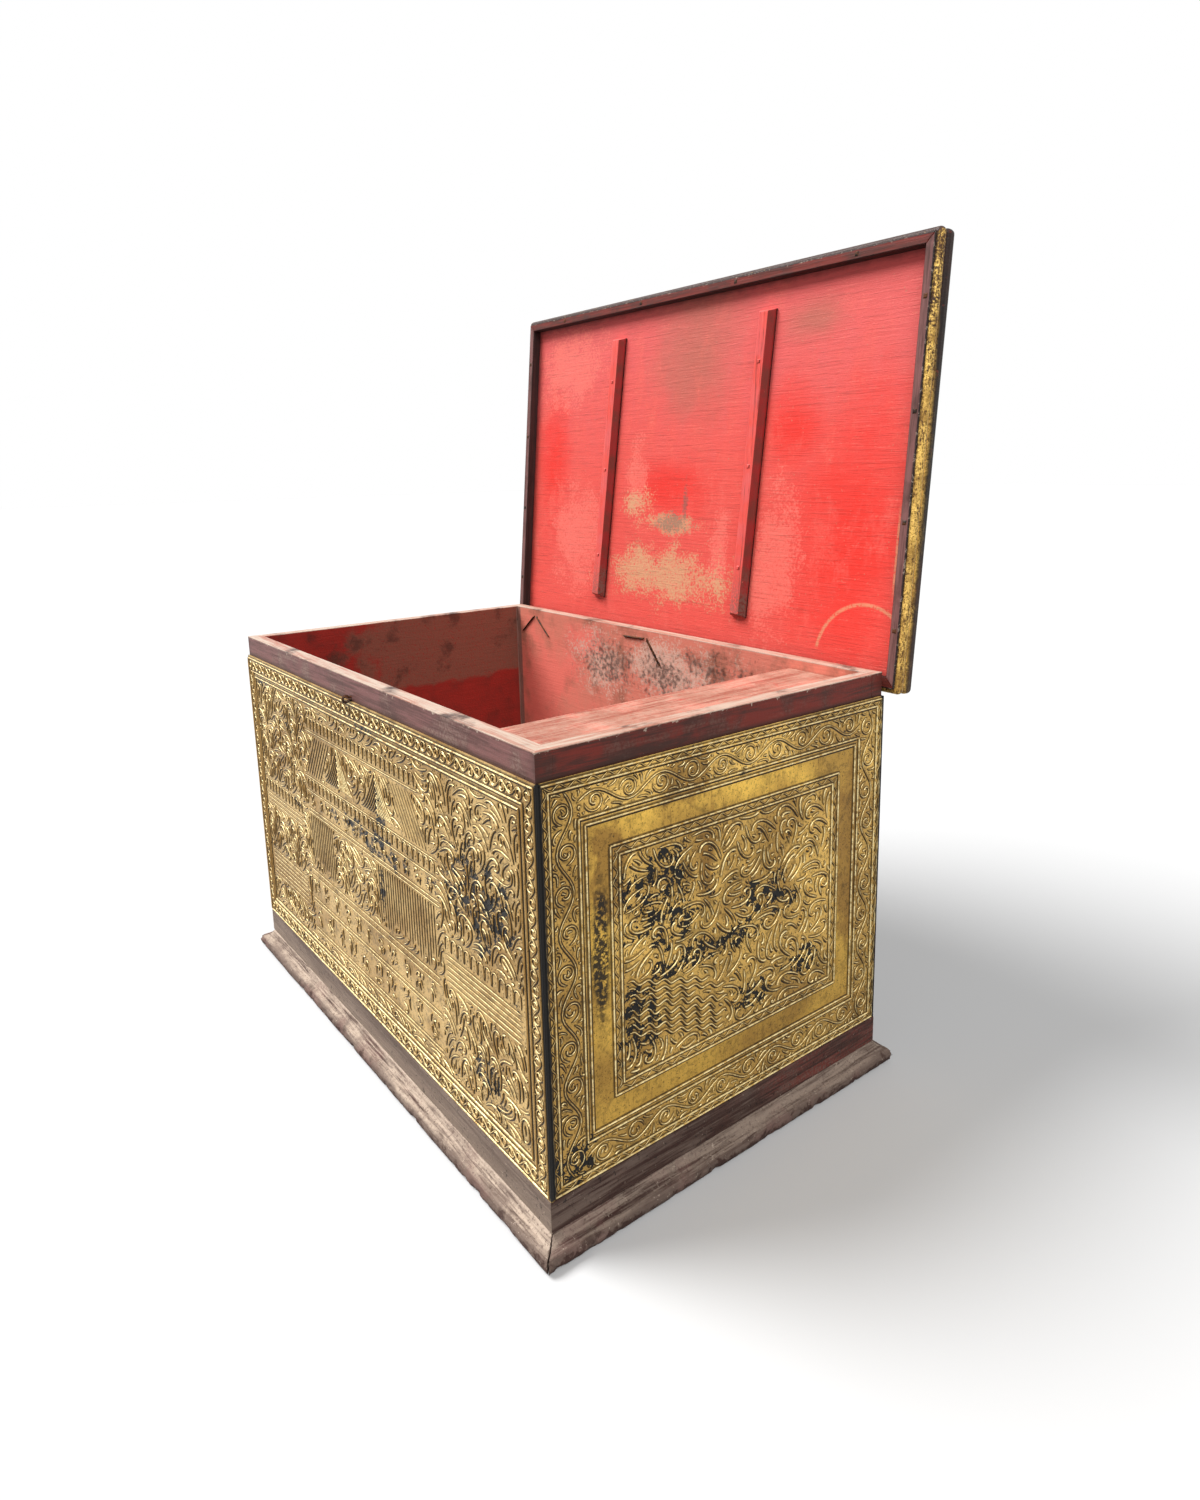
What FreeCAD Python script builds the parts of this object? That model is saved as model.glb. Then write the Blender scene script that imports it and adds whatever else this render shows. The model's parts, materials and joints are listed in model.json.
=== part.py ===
import FreeCAD
import Part
import Sketcher

import math
import os

# A lidded manuscript chest: a dovetailed carcase with a gilded relief layer, on a moulded plinth, with a
# till at its right end and a rimmed lid on three wire hinges. X runs along the length, -Y is the front,
# +Z is up, and the origin is on the floor under the middle of the carcase. The lid stands open.

DRIVING_SIZES = [
    ("body_length", 924, "carcase length over the gilded ends"),
    ("body_depth", 560, "carcase depth over the gilded front and the back"),
    ("relief_thickness", 3.4, "lacquer layer on the walls, up to the top of its ridges"),
    ("ridge_height", 0.9, "frame ridges above the ground of the relief"),
    ("ridge_width", 1.8, "width of one frame ridge"),
    ("corner_round", 1.8, "worn vertical corners of the lacquer layer"),
    ("wall_thickness", 21, "front, back and end boards"),
    ("plinth_height", 31, "plinth rails, floor to carcase"),
    ("band_top", 70, "top of the base band, bottom of the relief"),
    ("relief_top", 547, "top of the relief, where the plain rim begins"),
    ("rim_top", 580, "top of the walls"),
    ("dovetail_count", 5, "pins at each corner"),
    ("dovetail_width", 48, "a pin's width at its root"),
    ("dovetail_flare", 3.5, "how much each flank of a pin closes in over the wall's thickness"),
    ("plinth_inset", 60, "how far the plinth rails reach in under the carcase"),
    ("plinth_foot", 16, "how far the plinth's foot stands out"),
    ("plinth_shoulder", 14, "how far the plinth's nose stands out where the cove begins"),
    ("plinth_cove_height", 10, "height of the cove"),
    ("plinth_nose_radius", 13, "round nose of the plinth"),
    ("plinth_cove_radius", 15, "hollow of the cove"),
    ("bearer_width", 60, "bearer under the bottom boards"),
    ("bottom_thickness", 16, "bottom boards"),
    ("bottom_rebate", 10, "how far the bottom boards are let into the walls"),
    ("lap_width", 12, "half-lap between two boards"),
    ("till_length", 119, "till, inside the right end, out to the face of its side board"),
    ("till_depth", 130, "till lid's underside down to the till's bottom board"),
    ("till_board", 12, "till side and bottom boards"),
    ("till_groove", 6, "grooves that hold the till in the walls"),
    ("till_lid_thickness", 14, "till lid"),
    ("till_lid_drop", 14, "till lid's top below the rim"),
    ("till_lid_overhang", 9, "till lid's edge beyond its side board"),
    ("till_lid_gap", 0.8, "till lid to the walls"),
    ("pintle_radius", 4, "round ends that the till lid turns on"),
    ("pintle_length", 9, "how far a pintle reaches into the wall"),
    ("running_gap", 0.3, "clearance of moving pieces"),
    ("rail_width", 13.5, "lid rails, across"),
    ("rail_height", 17, "lid rails, below the lid boards"),
    ("rail_end_gap", 1.3, "lid rails to the rim at the ends"),
    ("rail_front_gap", 3.5, "lid rails to the rim at the front and back"),
    ("bead_lift", 2.6, "plain strip of rail below the bead"),
    ("lid_thickness", 17, "lid boards"),
    ("lid_edge_round", 6.5, "rounded edges of the lid boards"),
    ("lid_open_angle", 95.3, "opening of the lid at its stop, in degrees"),
    ("batten_length", 472, "lid battens"),
    ("batten_width", 34, "lid battens, across"),
    ("batten_thickness", 13, "lid battens"),
    ("batten_slope", 5, "slanting ends of the battens"),
    ("batten_chamfer", 8, "chamfered long edges of the battens"),
    ("hinge_spacing", 368, "outer hinges from the middle of the chest"),
    ("hinge_shift", -20, "middle hinge, from the middle of the chest"),
    ("hinge_reach", 8.3, "hinge axis behind the rim"),
    ("hinge_drop", 14.4, "hinge axis below the top of the rim"),
    ("wire_radius", 1.8, "hinge wire"),
    ("wire_hole_gap", 0.1, "hinge wire to its hole"),
    ("staple_half_width", 4.5, "legs of a staple, from its middle"),
    ("eye_radius", 4.4, "ring of a lid eye, at the middle of the wire"),
    ("eye_leg_offset", 2.15, "legs of an eye, from its middle"),
    ("eye_neck_radius", 3, "bend between an eye's ring and its legs"),
    ("clinch_radius", 4, "bend of a clinched leg"),
    ("clinch_length", 54, "clinched leg on the back wall"),
    ("blind_leg_stop", 4, "a leg that isn't clinched, from its end to the inner face of the wall"),
    ("lid_clinch_length", 22, "clinched leg on top of the lid"),
    ("notch_half_width", 8.5, "hinge notch in the lid's back rail"),
    ("lock_x", -8, "lock staple, along the front"),
    ("lock_drop", 29, "lock staple below the top of the rim"),
    ("lock_reach", 8, "middle of the lock staple's ring in front of the rim"),
    ("nail_shank", 1.4, "square nail shank, half across"),
    ("nail_head", 3.2, "square nail head, half across"),
    ("nail_head_height", 1.1, "nail head above what it holds"),
    ("rail_nail_length", 28, "nails through the lid rails into the lid"),
    ("batten_nail_length", 26, "nails through the lid battens into the lid"),
    ("bottom_nail_length", 40, "nails through the bottom boards into the walls"),
    ("plinth_nail_length", 45, "nails through the plinth rails into the walls"),
]

WIRE_SIDES = 4
NAILS_PER_SIDE = 4
NAILS_PER_BATTEN = 3

doc = FreeCAD.newDocument("manuscript_chest")
size = doc.addObject("Spreadsheet::Sheet", "size")
for row, (alias, number, meaning) in enumerate(DRIVING_SIZES, start=1):
    size.set("A%d" % row, str(number))
    size.setAlias("A%d" % row, alias)
    size.set("B%d" % row, meaning)
doc.recompute()

# Derived places, as expressions of the driving sizes
BODY_X = "(size.body_length / 2)"
BODY_Y = "(size.body_depth / 2)"
WALL_X = f"({BODY_X} - size.relief_thickness)"
WALL_Y = f"({BODY_Y} - size.relief_thickness)"
INNER_X = f"({WALL_X} - size.wall_thickness)"
INNER_Y = f"({WALL_Y} - size.wall_thickness)"
WALL_BOTTOM = "size.plinth_height"
BOTTOM_TOP = "(size.plinth_height + size.bottom_thickness)"
PIN_PITCH = f"((size.rim_top - {WALL_BOTTOM}) / size.dovetail_count)"
TILL_FACE = f"({INNER_X} - size.till_length)"
TILL_LID_TOP = "(size.rim_top - size.till_lid_drop)"
TILL_LID_UNDER = f"({TILL_LID_TOP} - size.till_lid_thickness)"
TILL_BOTTOM_TOP = f"({TILL_LID_UNDER} - size.till_depth)"
TILL_BOTTOM_UNDER = f"({TILL_BOTTOM_TOP} - size.till_board)"
PINTLE_X = f"({INNER_X} - size.till_lid_gap - size.till_lid_thickness / 2)"
PINTLE_Z = f"({TILL_LID_TOP} - size.till_lid_thickness / 2)"
LID_UNDER = "(size.rim_top + size.running_gap)"
LID_TOP = f"({LID_UNDER} + size.lid_thickness)"
RAIL_UNDER = f"({LID_UNDER} - size.rail_height)"
BATTEN_FACE = f"({LID_UNDER} - size.batten_thickness)"
RAIL_X = f"({WALL_X} + size.rail_end_gap + size.rail_width)"
RAIL_Y = f"({WALL_Y} + size.rail_front_gap + size.rail_width)"
BEAD_RADIUS = "((size.rail_height - size.bead_lift) / 2)"
LID_X = f"({RAIL_X} + {BEAD_RADIUS})"
LID_Y = f"({RAIL_Y} + {BEAD_RADIUS})"
HINGE_Y = f"({WALL_Y} + size.hinge_reach)"
HINGE_Z = "(size.rim_top - size.hinge_drop)"
HINGE_X = {"left": "-size.hinge_spacing", "middle": "size.hinge_shift", "right": "size.hinge_spacing"}
# Directions of a staple's two clinched legs on the back wall, in degrees from the length of the chest.
# The till is in the way of the right staple's legs, so these stop inside the wall.
CLINCH_ANGLES = {"left": (-142, -40), "middle": (-178, -50)}
LOCK_Z = "(size.rim_top - size.lock_drop)"

HALF_CORNER = 45
VERTICAL = FreeCAD.Vector(0, 0, 1)
ALONG = FreeCAD.Vector(1, 0, 0)
TOLERANCE = 0.01
pieces = []


def value(expression):
    return float(size.evalExpression(expression))


def turned(angle):
    return FreeCAD.Placement(FreeCAD.Vector(), FreeCAD.Rotation(VERTICAL, angle))


def moved(x, y, z):
    return FreeCAD.Placement(FreeCAD.Vector(x, y, z), FreeCAD.Rotation())


HINGE_POINT = FreeCAD.Vector(0, value(HINGE_Y), value(HINGE_Z))
OPENING = FreeCAD.Rotation(ALONG, -value("size.lid_open_angle"))
OPEN_LID = FreeCAD.Placement(FreeCAD.Vector(), OPENING, HINGE_POINT)


# Sketches and features

def new_body(label):
    body = doc.addObject("PartDesign::Body", label)
    body.Label = label
    pieces.append(body)
    return body


def new_sketch(body, plane, offset="0"):
    sketch = body.newObject("Sketcher::SketchObject", body.Label + "_sketch")
    origin_plane = [part for part in body.Origin.OriginFeatures if part.Role == plane][0]
    sketch.AttachmentSupport = [(origin_plane, "")]
    sketch.MapMode = "FlatFace"
    sketch.setExpression("AttachmentOffset.Base.z", offset)
    return sketch


def bind(sketch, kind, element, expression):
    index = sketch.addConstraint(Sketcher.Constraint(kind, *element, value(expression)))
    sketch.setExpression("Constraints[%d]" % index, expression)


def arc_between(start, end, radius, left_turn):
    """The short arc from start to end, as a sketch arc, which always runs anticlockwise."""
    first, last = (start, end) if left_turn else (end, start)
    chord = last - first
    rise = math.sqrt(radius ** 2 - chord.Length ** 2 / 4)
    side = FreeCAD.Vector(-chord.y, chord.x, 0).normalize()
    centre = (first + last) / 2 + side * rise
    angles = [math.atan2(point.y - centre.y, point.x - centre.x) for point in (first, last)]
    return Part.ArcOfCircle(Part.Circle(centre, VERTICAL, radius), *angles)


def draw_loop(sketch, corners):
    """A closed outline. A corner is (x, y), or (x, y, radius) where an arc leads on to the next one.

    A radius that begins with a minus sign turns the arc to the right.
    """
    points = [FreeCAD.Vector(value(corner[0]), value(corner[1]), 0) for corner in corners]
    first = sketch.GeometryCount
    count = len(corners)
    ends = []
    for index, corner in enumerate(corners):
        start, end = points[index], points[(index + 1) % count]
        if len(corner) == 2:
            sketch.addGeometry(Part.LineSegment(start, end))
            ends.append((1, 2))
        else:
            left_turn = not corner[2].startswith("-")
            sketch.addGeometry(arc_between(start, end, value(corner[2].lstrip("-")), left_turn))
            ends.append((1, 2) if left_turn else (2, 1))
    for index, corner in enumerate(corners):
        here, after = first + index, first + (index + 1) % count
        joint = (here, ends[index][1], after, ends[(index + 1) % count][0])
        sketch.addConstraint(Sketcher.Constraint("Coincident", *joint))
    for index, corner in enumerate(corners):
        point = (-1, 1, first + index, ends[index][0])
        bind(sketch, "DistanceX", point, corner[0])
        bind(sketch, "DistanceY", point, corner[1])
        if len(corner) == 3:
            bind(sketch, "Radius", (first + index,), corner[2].lstrip("-"))


def draw_rectangle(sketch, left, right, low, high):
    draw_loop(sketch, [(left, low), (right, low), (right, high), (left, high)])


def draw_circle(sketch, x, y, radius):
    circle = Part.Circle(FreeCAD.Vector(value(x), value(y), 0), VERTICAL, value(radius))
    index = sketch.addGeometry(circle)
    bind(sketch, "DistanceX", (-1, 1, index, 3), x)
    bind(sketch, "DistanceY", (-1, 1, index, 3), y)
    bind(sketch, "Radius", (index,), radius)


def pad(body, sketch, length, reverse=False, both_ways=False):
    feature = body.newObject("PartDesign::Pad", body.Label + "_pad")
    feature.Profile = sketch
    feature.AllowMultiFace = True
    feature.setExpression("Length", length)
    feature.Reversed = reverse
    feature.SideType = "Symmetric" if both_ways else "One side"
    return feature


def pocket(body, sketch, depth, reverse=False, both_ways=False):
    feature = body.newObject("PartDesign::Pocket", body.Label + "_pocket")
    feature.Profile = sketch
    feature.AllowMultiFace = True
    feature.setExpression("Length", depth)
    feature.Reversed = reverse
    feature.SideType = "Symmetric" if both_ways else "One side"
    return feature


def repeat_upwards(body, feature, sketch):
    """One copy of a dovetail feature for each pin of the corner."""
    pattern = body.newObject("PartDesign::LinearPattern", body.Label + "_pattern")
    pattern.Originals = [feature]
    pattern.Direction = (sketch, ["V_Axis"])
    pattern.setExpression("Length", f"{PIN_PITCH} * (size.dovetail_count - 1)")
    pattern.setExpression("Occurrences", "size.dovetail_count")
    body.Tip = pattern


def dress(body, kind, radius_property, expression, wanted):
    """Rounds or chamfers the edges of a body that the test picks."""
    doc.recompute()
    base = body.Tip
    names = ["Edge%d" % number for number, edge in enumerate(base.Shape.Edges, start=1) if wanted(edge)]
    feature = body.newObject("PartDesign::" + kind, body.Label + "_" + kind.lower())
    feature.Base = (base, names)
    feature.setExpression(radius_property, expression)
    return feature


def board(label, x, y, z):
    """A plain board between pairs of places along X, Y and Z."""
    box = doc.addObject("Part::Box", label)
    box.Label = label
    for length, axis, (low, high) in (("Length", "x", x), ("Width", "y", y), ("Height", "z", z)):
        box.setExpression(length, f"{high} - ({low})")
        box.setExpression("Placement.Base." + axis, low)
    pieces.append(box)


# Carcase walls, dovetailed at the corners

def pin_outline(side):
    """The lowest dovetail pin of one end, as it shows on the front."""
    middle = f"({WALL_BOTTOM} + {PIN_PITCH} / 2)"
    root = "size.dovetail_width / 2"
    tip = "(size.dovetail_width / 2 - size.dovetail_flare)"
    corners = [
        (f"{side} * {INNER_X}", f"{middle} - {root}"),
        (f"{side} * {WALL_X}", f"{middle} - {tip}"),
        (f"{side} * {WALL_X}", f"{middle} + {tip}"),
        (f"{side} * {INNER_X}", f"{middle} + {root}"),
    ]
    return corners if side > 0 else corners[::-1]


def long_wall(label, side):
    """Front (side -1) or back (side 1) board, with tails at its ends and the housings of the till."""
    body = new_body(label)
    inner_face = f"{-side} * {INNER_Y}"
    inward = side < 0
    outline = new_sketch(body, "XZ_Plane", inner_face)
    draw_rectangle(outline, f"-{WALL_X}", WALL_X, WALL_BOTTOM, "size.rim_top")
    pad(body, outline, "size.wall_thickness", reverse=not inward)

    sockets = new_sketch(body, "XZ_Plane", inner_face)
    for end in (-1, 1):
        draw_loop(sockets, pin_outline(end))
    first_sockets = pocket(body, sockets, "size.wall_thickness", reverse=inward)
    repeat_upwards(body, first_sockets, sockets)

    rebate = new_sketch(body, "XZ_Plane", inner_face)
    reach = f"({INNER_X} + size.bottom_rebate)"
    draw_rectangle(rebate, f"-{reach}", reach, WALL_BOTTOM, BOTTOM_TOP)
    pocket(body, rebate, "size.bottom_rebate", reverse=inward)

    housing = new_sketch(body, "XZ_Plane", inner_face)
    side_back = f"({TILL_FACE} + size.till_board)"
    draw_loop(housing, [
        (TILL_FACE, TILL_BOTTOM_UNDER),
        (INNER_X, TILL_BOTTOM_UNDER),
        (INNER_X, TILL_BOTTOM_TOP),
        (side_back, TILL_BOTTOM_TOP),
        (side_back, TILL_LID_UNDER),
        (TILL_FACE, TILL_LID_UNDER),
    ])
    pocket(body, housing, "size.till_groove", reverse=inward)

    socket = new_sketch(body, "XZ_Plane", inner_face)
    draw_circle(socket, PINTLE_X, PINTLE_Z, "size.pintle_radius + size.running_gap")
    pocket(body, socket, "size.pintle_length + size.running_gap", reverse=inward)
    return body, inner_face, inward


def end_wall(label, side):
    """Left (side -1) or right (side 1) board, with pins that fill the sockets of the long walls."""
    body = new_body(label)
    inner_face = f"{side} * {INNER_X}"
    outline = new_sketch(body, "YZ_Plane", inner_face)
    draw_rectangle(outline, f"-{INNER_Y}", INNER_Y, WALL_BOTTOM, "size.rim_top")
    pad(body, outline, "size.wall_thickness", reverse=side < 0)

    pins = new_sketch(body, "XZ_Plane")
    draw_loop(pins, pin_outline(side))
    first_pins = pad(body, pins, f"2 * {WALL_Y}", both_ways=True)
    repeat_upwards(body, first_pins, pins)

    rebate = new_sketch(body, "YZ_Plane", inner_face)
    draw_rectangle(rebate, f"-{INNER_Y}", INNER_Y, WALL_BOTTOM, BOTTOM_TOP)
    pocket(body, rebate, "size.bottom_rebate", reverse=side > 0)
    if side > 0:
        groove = new_sketch(body, "YZ_Plane", inner_face)
        draw_rectangle(groove, f"-{INNER_Y}", INNER_Y, TILL_BOTTOM_UNDER, TILL_BOTTOM_TOP)
        pocket(body, groove, "size.till_groove", reverse=True)


WIRE_HOLE = "size.wire_radius + size.wire_hole_gap"

front_wall, front_face, front_inward = long_wall("front_wall", -1)
lock_holes = new_sketch(front_wall, "XZ_Plane", front_face)
for leg in (-1, 1):
    draw_circle(lock_holes, "size.lock_x", f"{LOCK_Z} + {leg} * size.eye_leg_offset", WIRE_HOLE)
pocket(front_wall, lock_holes, "size.wall_thickness", reverse=front_inward)

back_wall, back_face, back_inward = long_wall("back_wall", 1)
for side, hinge_x in HINGE_X.items():
    stop = "0" if side in CLINCH_ANGLES else "size.blind_leg_stop"
    hinge_holes = new_sketch(back_wall, "XZ_Plane", f"{back_face} - {stop}")
    for leg in (-1, 1):
        draw_circle(hinge_holes, f"{hinge_x} + {leg} * size.staple_half_width", HINGE_Z, WIRE_HOLE)
    pocket(back_wall, hinge_holes, f"size.wall_thickness - {stop}", reverse=back_inward)

end_wall("left_wall", -1)
end_wall("right_wall", 1)


# Lacquer layer on the walls: ground with raised frame ridges on three sides, plain at the back

def lacquer_panel(label, angle, half_run, reach, ridge_insets):
    body = new_body(label)
    ground = new_sketch(body, "XZ_Plane", reach)
    draw_rectangle(ground, f"-{half_run}", half_run, "size.band_top", "size.relief_top")
    pad(body, ground, "size.relief_thickness - size.ridge_height")
    if ridge_insets:
        ridges = new_sketch(body, "XZ_Plane", reach)
        for inset in ridge_insets:
            for edge in (f"{inset}", f"({inset} + size.ridge_width)"):
                side = f"({half_run} - {edge})"
                low, high = f"size.band_top + {edge}", f"size.relief_top - {edge}"
                draw_rectangle(ridges, f"-{side}", side, low, high)
        pad(body, ridges, "size.relief_thickness")
    body.Placement = turned(angle)
    return body


# Distances of the frame ridges from the edges of the layer
FRONT_RIDGES = (3, 25, 33)
END_RIDGES = (2, 11, 48, 56, 88, 100)


def is_outer_corner(edge):
    upright = abs(edge.BoundBox.ZLength - value("size.relief_top - size.band_top")) < TOLERANCE
    at_end = abs(abs(edge.CenterOfMass.x) - value(BODY_X)) < TOLERANCE
    outside = abs(edge.CenterOfMass.y) > value(WALL_Y) + TOLERANCE
    return upright and at_end and outside


front_relief = lacquer_panel("front_relief", 0, BODY_X, WALL_Y, FRONT_RIDGES)
dress(front_relief, "Fillet", "Radius", "size.corner_round", is_outer_corner)
back_panel = lacquer_panel("back_panel", 180, BODY_X, WALL_Y, ())
dress(back_panel, "Fillet", "Radius", "size.corner_round", is_outer_corner)
lacquer_panel("right_relief", 90, WALL_Y, WALL_X, END_RIDGES)
lacquer_panel("left_relief", 270, WALL_Y, WALL_X, END_RIDGES)


# Strips that run round the chest: base bands, plinth rails, lid rails and lid beads

SIDES = {"front": 0, "right": 90, "back": 180, "left": 270}


def along_and_out(side, half_length, half_depth):
    """Half the run of a side's strip, and the distance of its face from the middle."""
    return (half_length, half_depth) if side in ("front", "back") else (half_depth, half_length)


def mitred_strip(label, half_run, reach, overhang, profile):
    """A strip along the front, of one profile, cut at 45 degrees through its two corners."""
    body = new_body(label)
    section = new_sketch(body, "YZ_Plane")
    draw_loop(section, profile)
    pad(body, section, f"2 * ({half_run} + {overhang})", both_ways=True)
    mitres = new_sketch(body, "XY_Plane")
    far = "size.body_depth / 4"
    for end in ("", "-"):
        corners = [
            (f"{end}({half_run} - {far})", f"-{reach} + {far}"),
            (f"{end}({half_run} + {far})", f"-{reach} - {far}"),
            (f"{end}({half_run} + {far})", f"-{reach} + {far}"),
        ]
        draw_loop(mitres, corners)
    pocket(body, mitres, "4 * size.rim_top", both_ways=True)
    return body


def rectangle(near, far, low, high):
    return [(near, low), (near, high), (far, high), (far, low)]


def plinth_profile(reach):
    top = "size.plinth_height"
    shoulder = f"({top} - size.plinth_cove_height)"
    return [
        (f"-{reach} + size.plinth_inset", top),
        (f"-{reach}", top, "-size.plinth_cove_radius"),
        (f"-{reach} - size.plinth_shoulder", shoulder, "size.plinth_nose_radius"),
        (f"-{reach} - size.plinth_foot", "0"),
        (f"-{reach} + size.plinth_inset", "0"),
    ]


for side, angle in SIDES.items():
    run, out = along_and_out(side, BODY_X, BODY_Y)
    band = rectangle(f"-{out}", f"-{out} + size.relief_thickness", WALL_BOTTOM, "size.band_top")
    strip = mitred_strip("base_band_" + side, run, out, "0", band)
    strip.Placement = turned(angle)
    nose = "size.plinth_foot + size.plinth_nose_radius"
    rail = mitred_strip("plinth_" + side, run, out, nose, plinth_profile(out))
    rail.Placement = turned(angle)

bearer_reach = f"({BODY_Y} - size.plinth_inset)"
board("base_bearer", ("-size.bearer_width / 2", "size.bearer_width / 2"),
      (f"-{bearer_reach}", bearer_reach), ("0", WALL_BOTTOM))


# Bottom boards, half-lapped along the middle and let into the rebate of the walls

BOTTOM_X = f"({INNER_X} + size.bottom_rebate)"
BOTTOM_Y = f"({INNER_Y} + size.bottom_rebate)"
BOTTOM_MIDDLE = f"({WALL_BOTTOM} + size.bottom_thickness / 2)"

lapped_sections = {
    "bottom_board_front": [
        (f"-{BOTTOM_Y}", WALL_BOTTOM),
        ("0", WALL_BOTTOM),
        ("0", BOTTOM_MIDDLE),
        ("size.lap_width", BOTTOM_MIDDLE),
        ("size.lap_width", BOTTOM_TOP),
        (f"-{BOTTOM_Y}", BOTTOM_TOP),
    ],
    "bottom_board_back": [
        ("0", WALL_BOTTOM),
        (BOTTOM_Y, WALL_BOTTOM),
        (BOTTOM_Y, BOTTOM_TOP),
        ("size.lap_width", BOTTOM_TOP),
        ("size.lap_width", BOTTOM_MIDDLE),
        ("0", BOTTOM_MIDDLE),
    ],
}
for label, corners in lapped_sections.items():
    body = new_body(label)
    section = new_sketch(body, "YZ_Plane")
    draw_loop(section, corners)
    pad(body, section, f"2 * {BOTTOM_X}", both_ways=True)


# Till at the right end: side and bottom boards in grooves, and a lid that turns on its own pintles

TILL_REACH = f"({INNER_Y} + size.till_groove)"

board("till_side", (TILL_FACE, f"({TILL_FACE} + size.till_board)"),
      (f"-{TILL_REACH}", TILL_REACH), (TILL_BOTTOM_UNDER, TILL_LID_UNDER))
board("till_bottom", (f"({TILL_FACE} + size.till_board)", INNER_X),
      (f"-{TILL_REACH}", TILL_REACH), (TILL_BOTTOM_UNDER, TILL_BOTTOM_TOP))

till_lid = new_body("till_lid")
leaf = new_sketch(till_lid, "XZ_Plane")
half_leaf = "size.till_lid_thickness / 2"
leaf_edge = f"({TILL_FACE} - size.till_lid_overhang)"
leaf_lift = f"({TILL_LID_UNDER} + size.running_gap)"
draw_loop(leaf, [
    (leaf_edge, leaf_lift),
    (PINTLE_X, leaf_lift, f"{half_leaf} - size.running_gap / 2"),
    (f"{PINTLE_X} + {half_leaf} - size.running_gap / 2", f"{PINTLE_Z} + size.running_gap / 2",
     f"{half_leaf} - size.running_gap / 2"),
    (PINTLE_X, TILL_LID_TOP),
    (leaf_edge, TILL_LID_TOP),
])
pad(till_lid, leaf, f"2 * ({INNER_Y} - size.till_lid_gap)", both_ways=True)
pintles = new_sketch(till_lid, "XZ_Plane")
draw_circle(pintles, PINTLE_X, PINTLE_Z, "size.pintle_radius")
pad(till_lid, pintles, f"2 * ({INNER_Y} + size.pintle_length)", both_ways=True)


def is_leaf_edge(edge):
    long_edge = edge.BoundBox.YLength > value(INNER_Y)
    return long_edge and abs(edge.CenterOfMass.x - value(leaf_edge)) < TOLERANCE


dress(till_lid, "Fillet", "Radius", "size.till_lid_thickness / 4", is_leaf_edge)


# Lid, drawn closed on the chest and then turned open about the hinge axis

LID_MIDDLE = f"({LID_UNDER} + size.lid_thickness / 2)"


def lid_board(label, angle, seam, lap_low, lap_high):
    """Half of the lid, with rounded outer edges, and half of the lap along the middle."""
    body = new_body(label)
    outline = new_sketch(body, "XY_Plane", LID_UNDER)
    radius = BEAD_RADIUS
    inset_x, inset_y = f"({LID_X} - {radius})", f"({LID_Y} - {radius})"
    draw_loop(outline, [
        (f"-{inset_x}", f"-{LID_Y}"),
        (inset_x, f"-{LID_Y}", radius),
        (LID_X, f"-{inset_y}"),
        (LID_X, seam),
        (f"-{LID_X}", seam),
        (f"-{LID_X}", f"-{inset_y}", radius),
    ])
    pad(body, outline, "size.lid_thickness")
    lap = new_sketch(body, "XY_Plane", lap_low)
    draw_rectangle(lap, f"-{LID_X}", LID_X, seam, f"{seam} + size.lap_width")
    pad(body, lap, f"{lap_high} - {lap_low}")

    def is_rim(edge):
        middle = edge.CenterOfMass
        flat = edge.BoundBox.ZLength < TOLERANCE
        on_face = abs(middle.z - value(LID_MIDDLE)) > TOLERANCE
        outer = abs(middle.x) > value(inset_x) or middle.y < -value(inset_y)
        return flat and on_face and outer

    dress(body, "Fillet", "Radius", "size.lid_edge_round", is_rim)
    body.Placement = OPEN_LID.multiply(turned(angle))


lid_board("lid_board_front", 0, "0", LID_MIDDLE, LID_TOP)
lid_board("lid_board_back", 180, "-size.lap_width", LID_UNDER, LID_MIDDLE)


def lid_bead(label, half_run, reach):
    """Half-round strip along the front, carried half way round each corner."""
    body = new_body(label)
    low = f"({RAIL_UNDER} + size.bead_lift)"
    nose = f"-{BEAD_RADIUS}"
    half_round = [
        ("0", low, f"-{BEAD_RADIUS}"),
        (nose, f"{low} + {BEAD_RADIUS}", f"-{BEAD_RADIUS}"),
        ("0", LID_UNDER),
    ]
    section = new_sketch(body, "YZ_Plane")
    section.setExpression("AttachmentOffset.Base.x", f"-{reach}")
    draw_loop(section, half_round)
    pad(body, section, f"2 * {half_run}", both_ways=True)
    for end in (-1, 1):
        corner = new_sketch(body, "YZ_Plane", f"{end} * {half_run}")
        corner.setExpression("AttachmentOffset.Base.x", f"-{reach}")
        draw_loop(corner, half_round)
        turn = body.newObject("PartDesign::Revolution", label + "_corner")
        turn.Profile = corner
        turn.ReferenceAxis = (corner, ["V_Axis"])
        turn.Angle = HALF_CORNER
        turn.Reversed = end < 0
    return body


# The wall of the hinge notch that comes to bear on the staple, and so stops the lid
LEAN = "(size.lid_open_angle - 90)"
STOP_Y = (f"({HINGE_Y} + size.running_gap + size.wire_radius / cos({LEAN}) "
          f"+ ({HINGE_Z} - {RAIL_UNDER}) * tan({LEAN}))")
NOTCH_TOP = f"({HINGE_Z} + size.eye_radius + size.wire_radius + size.running_gap)"


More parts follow.
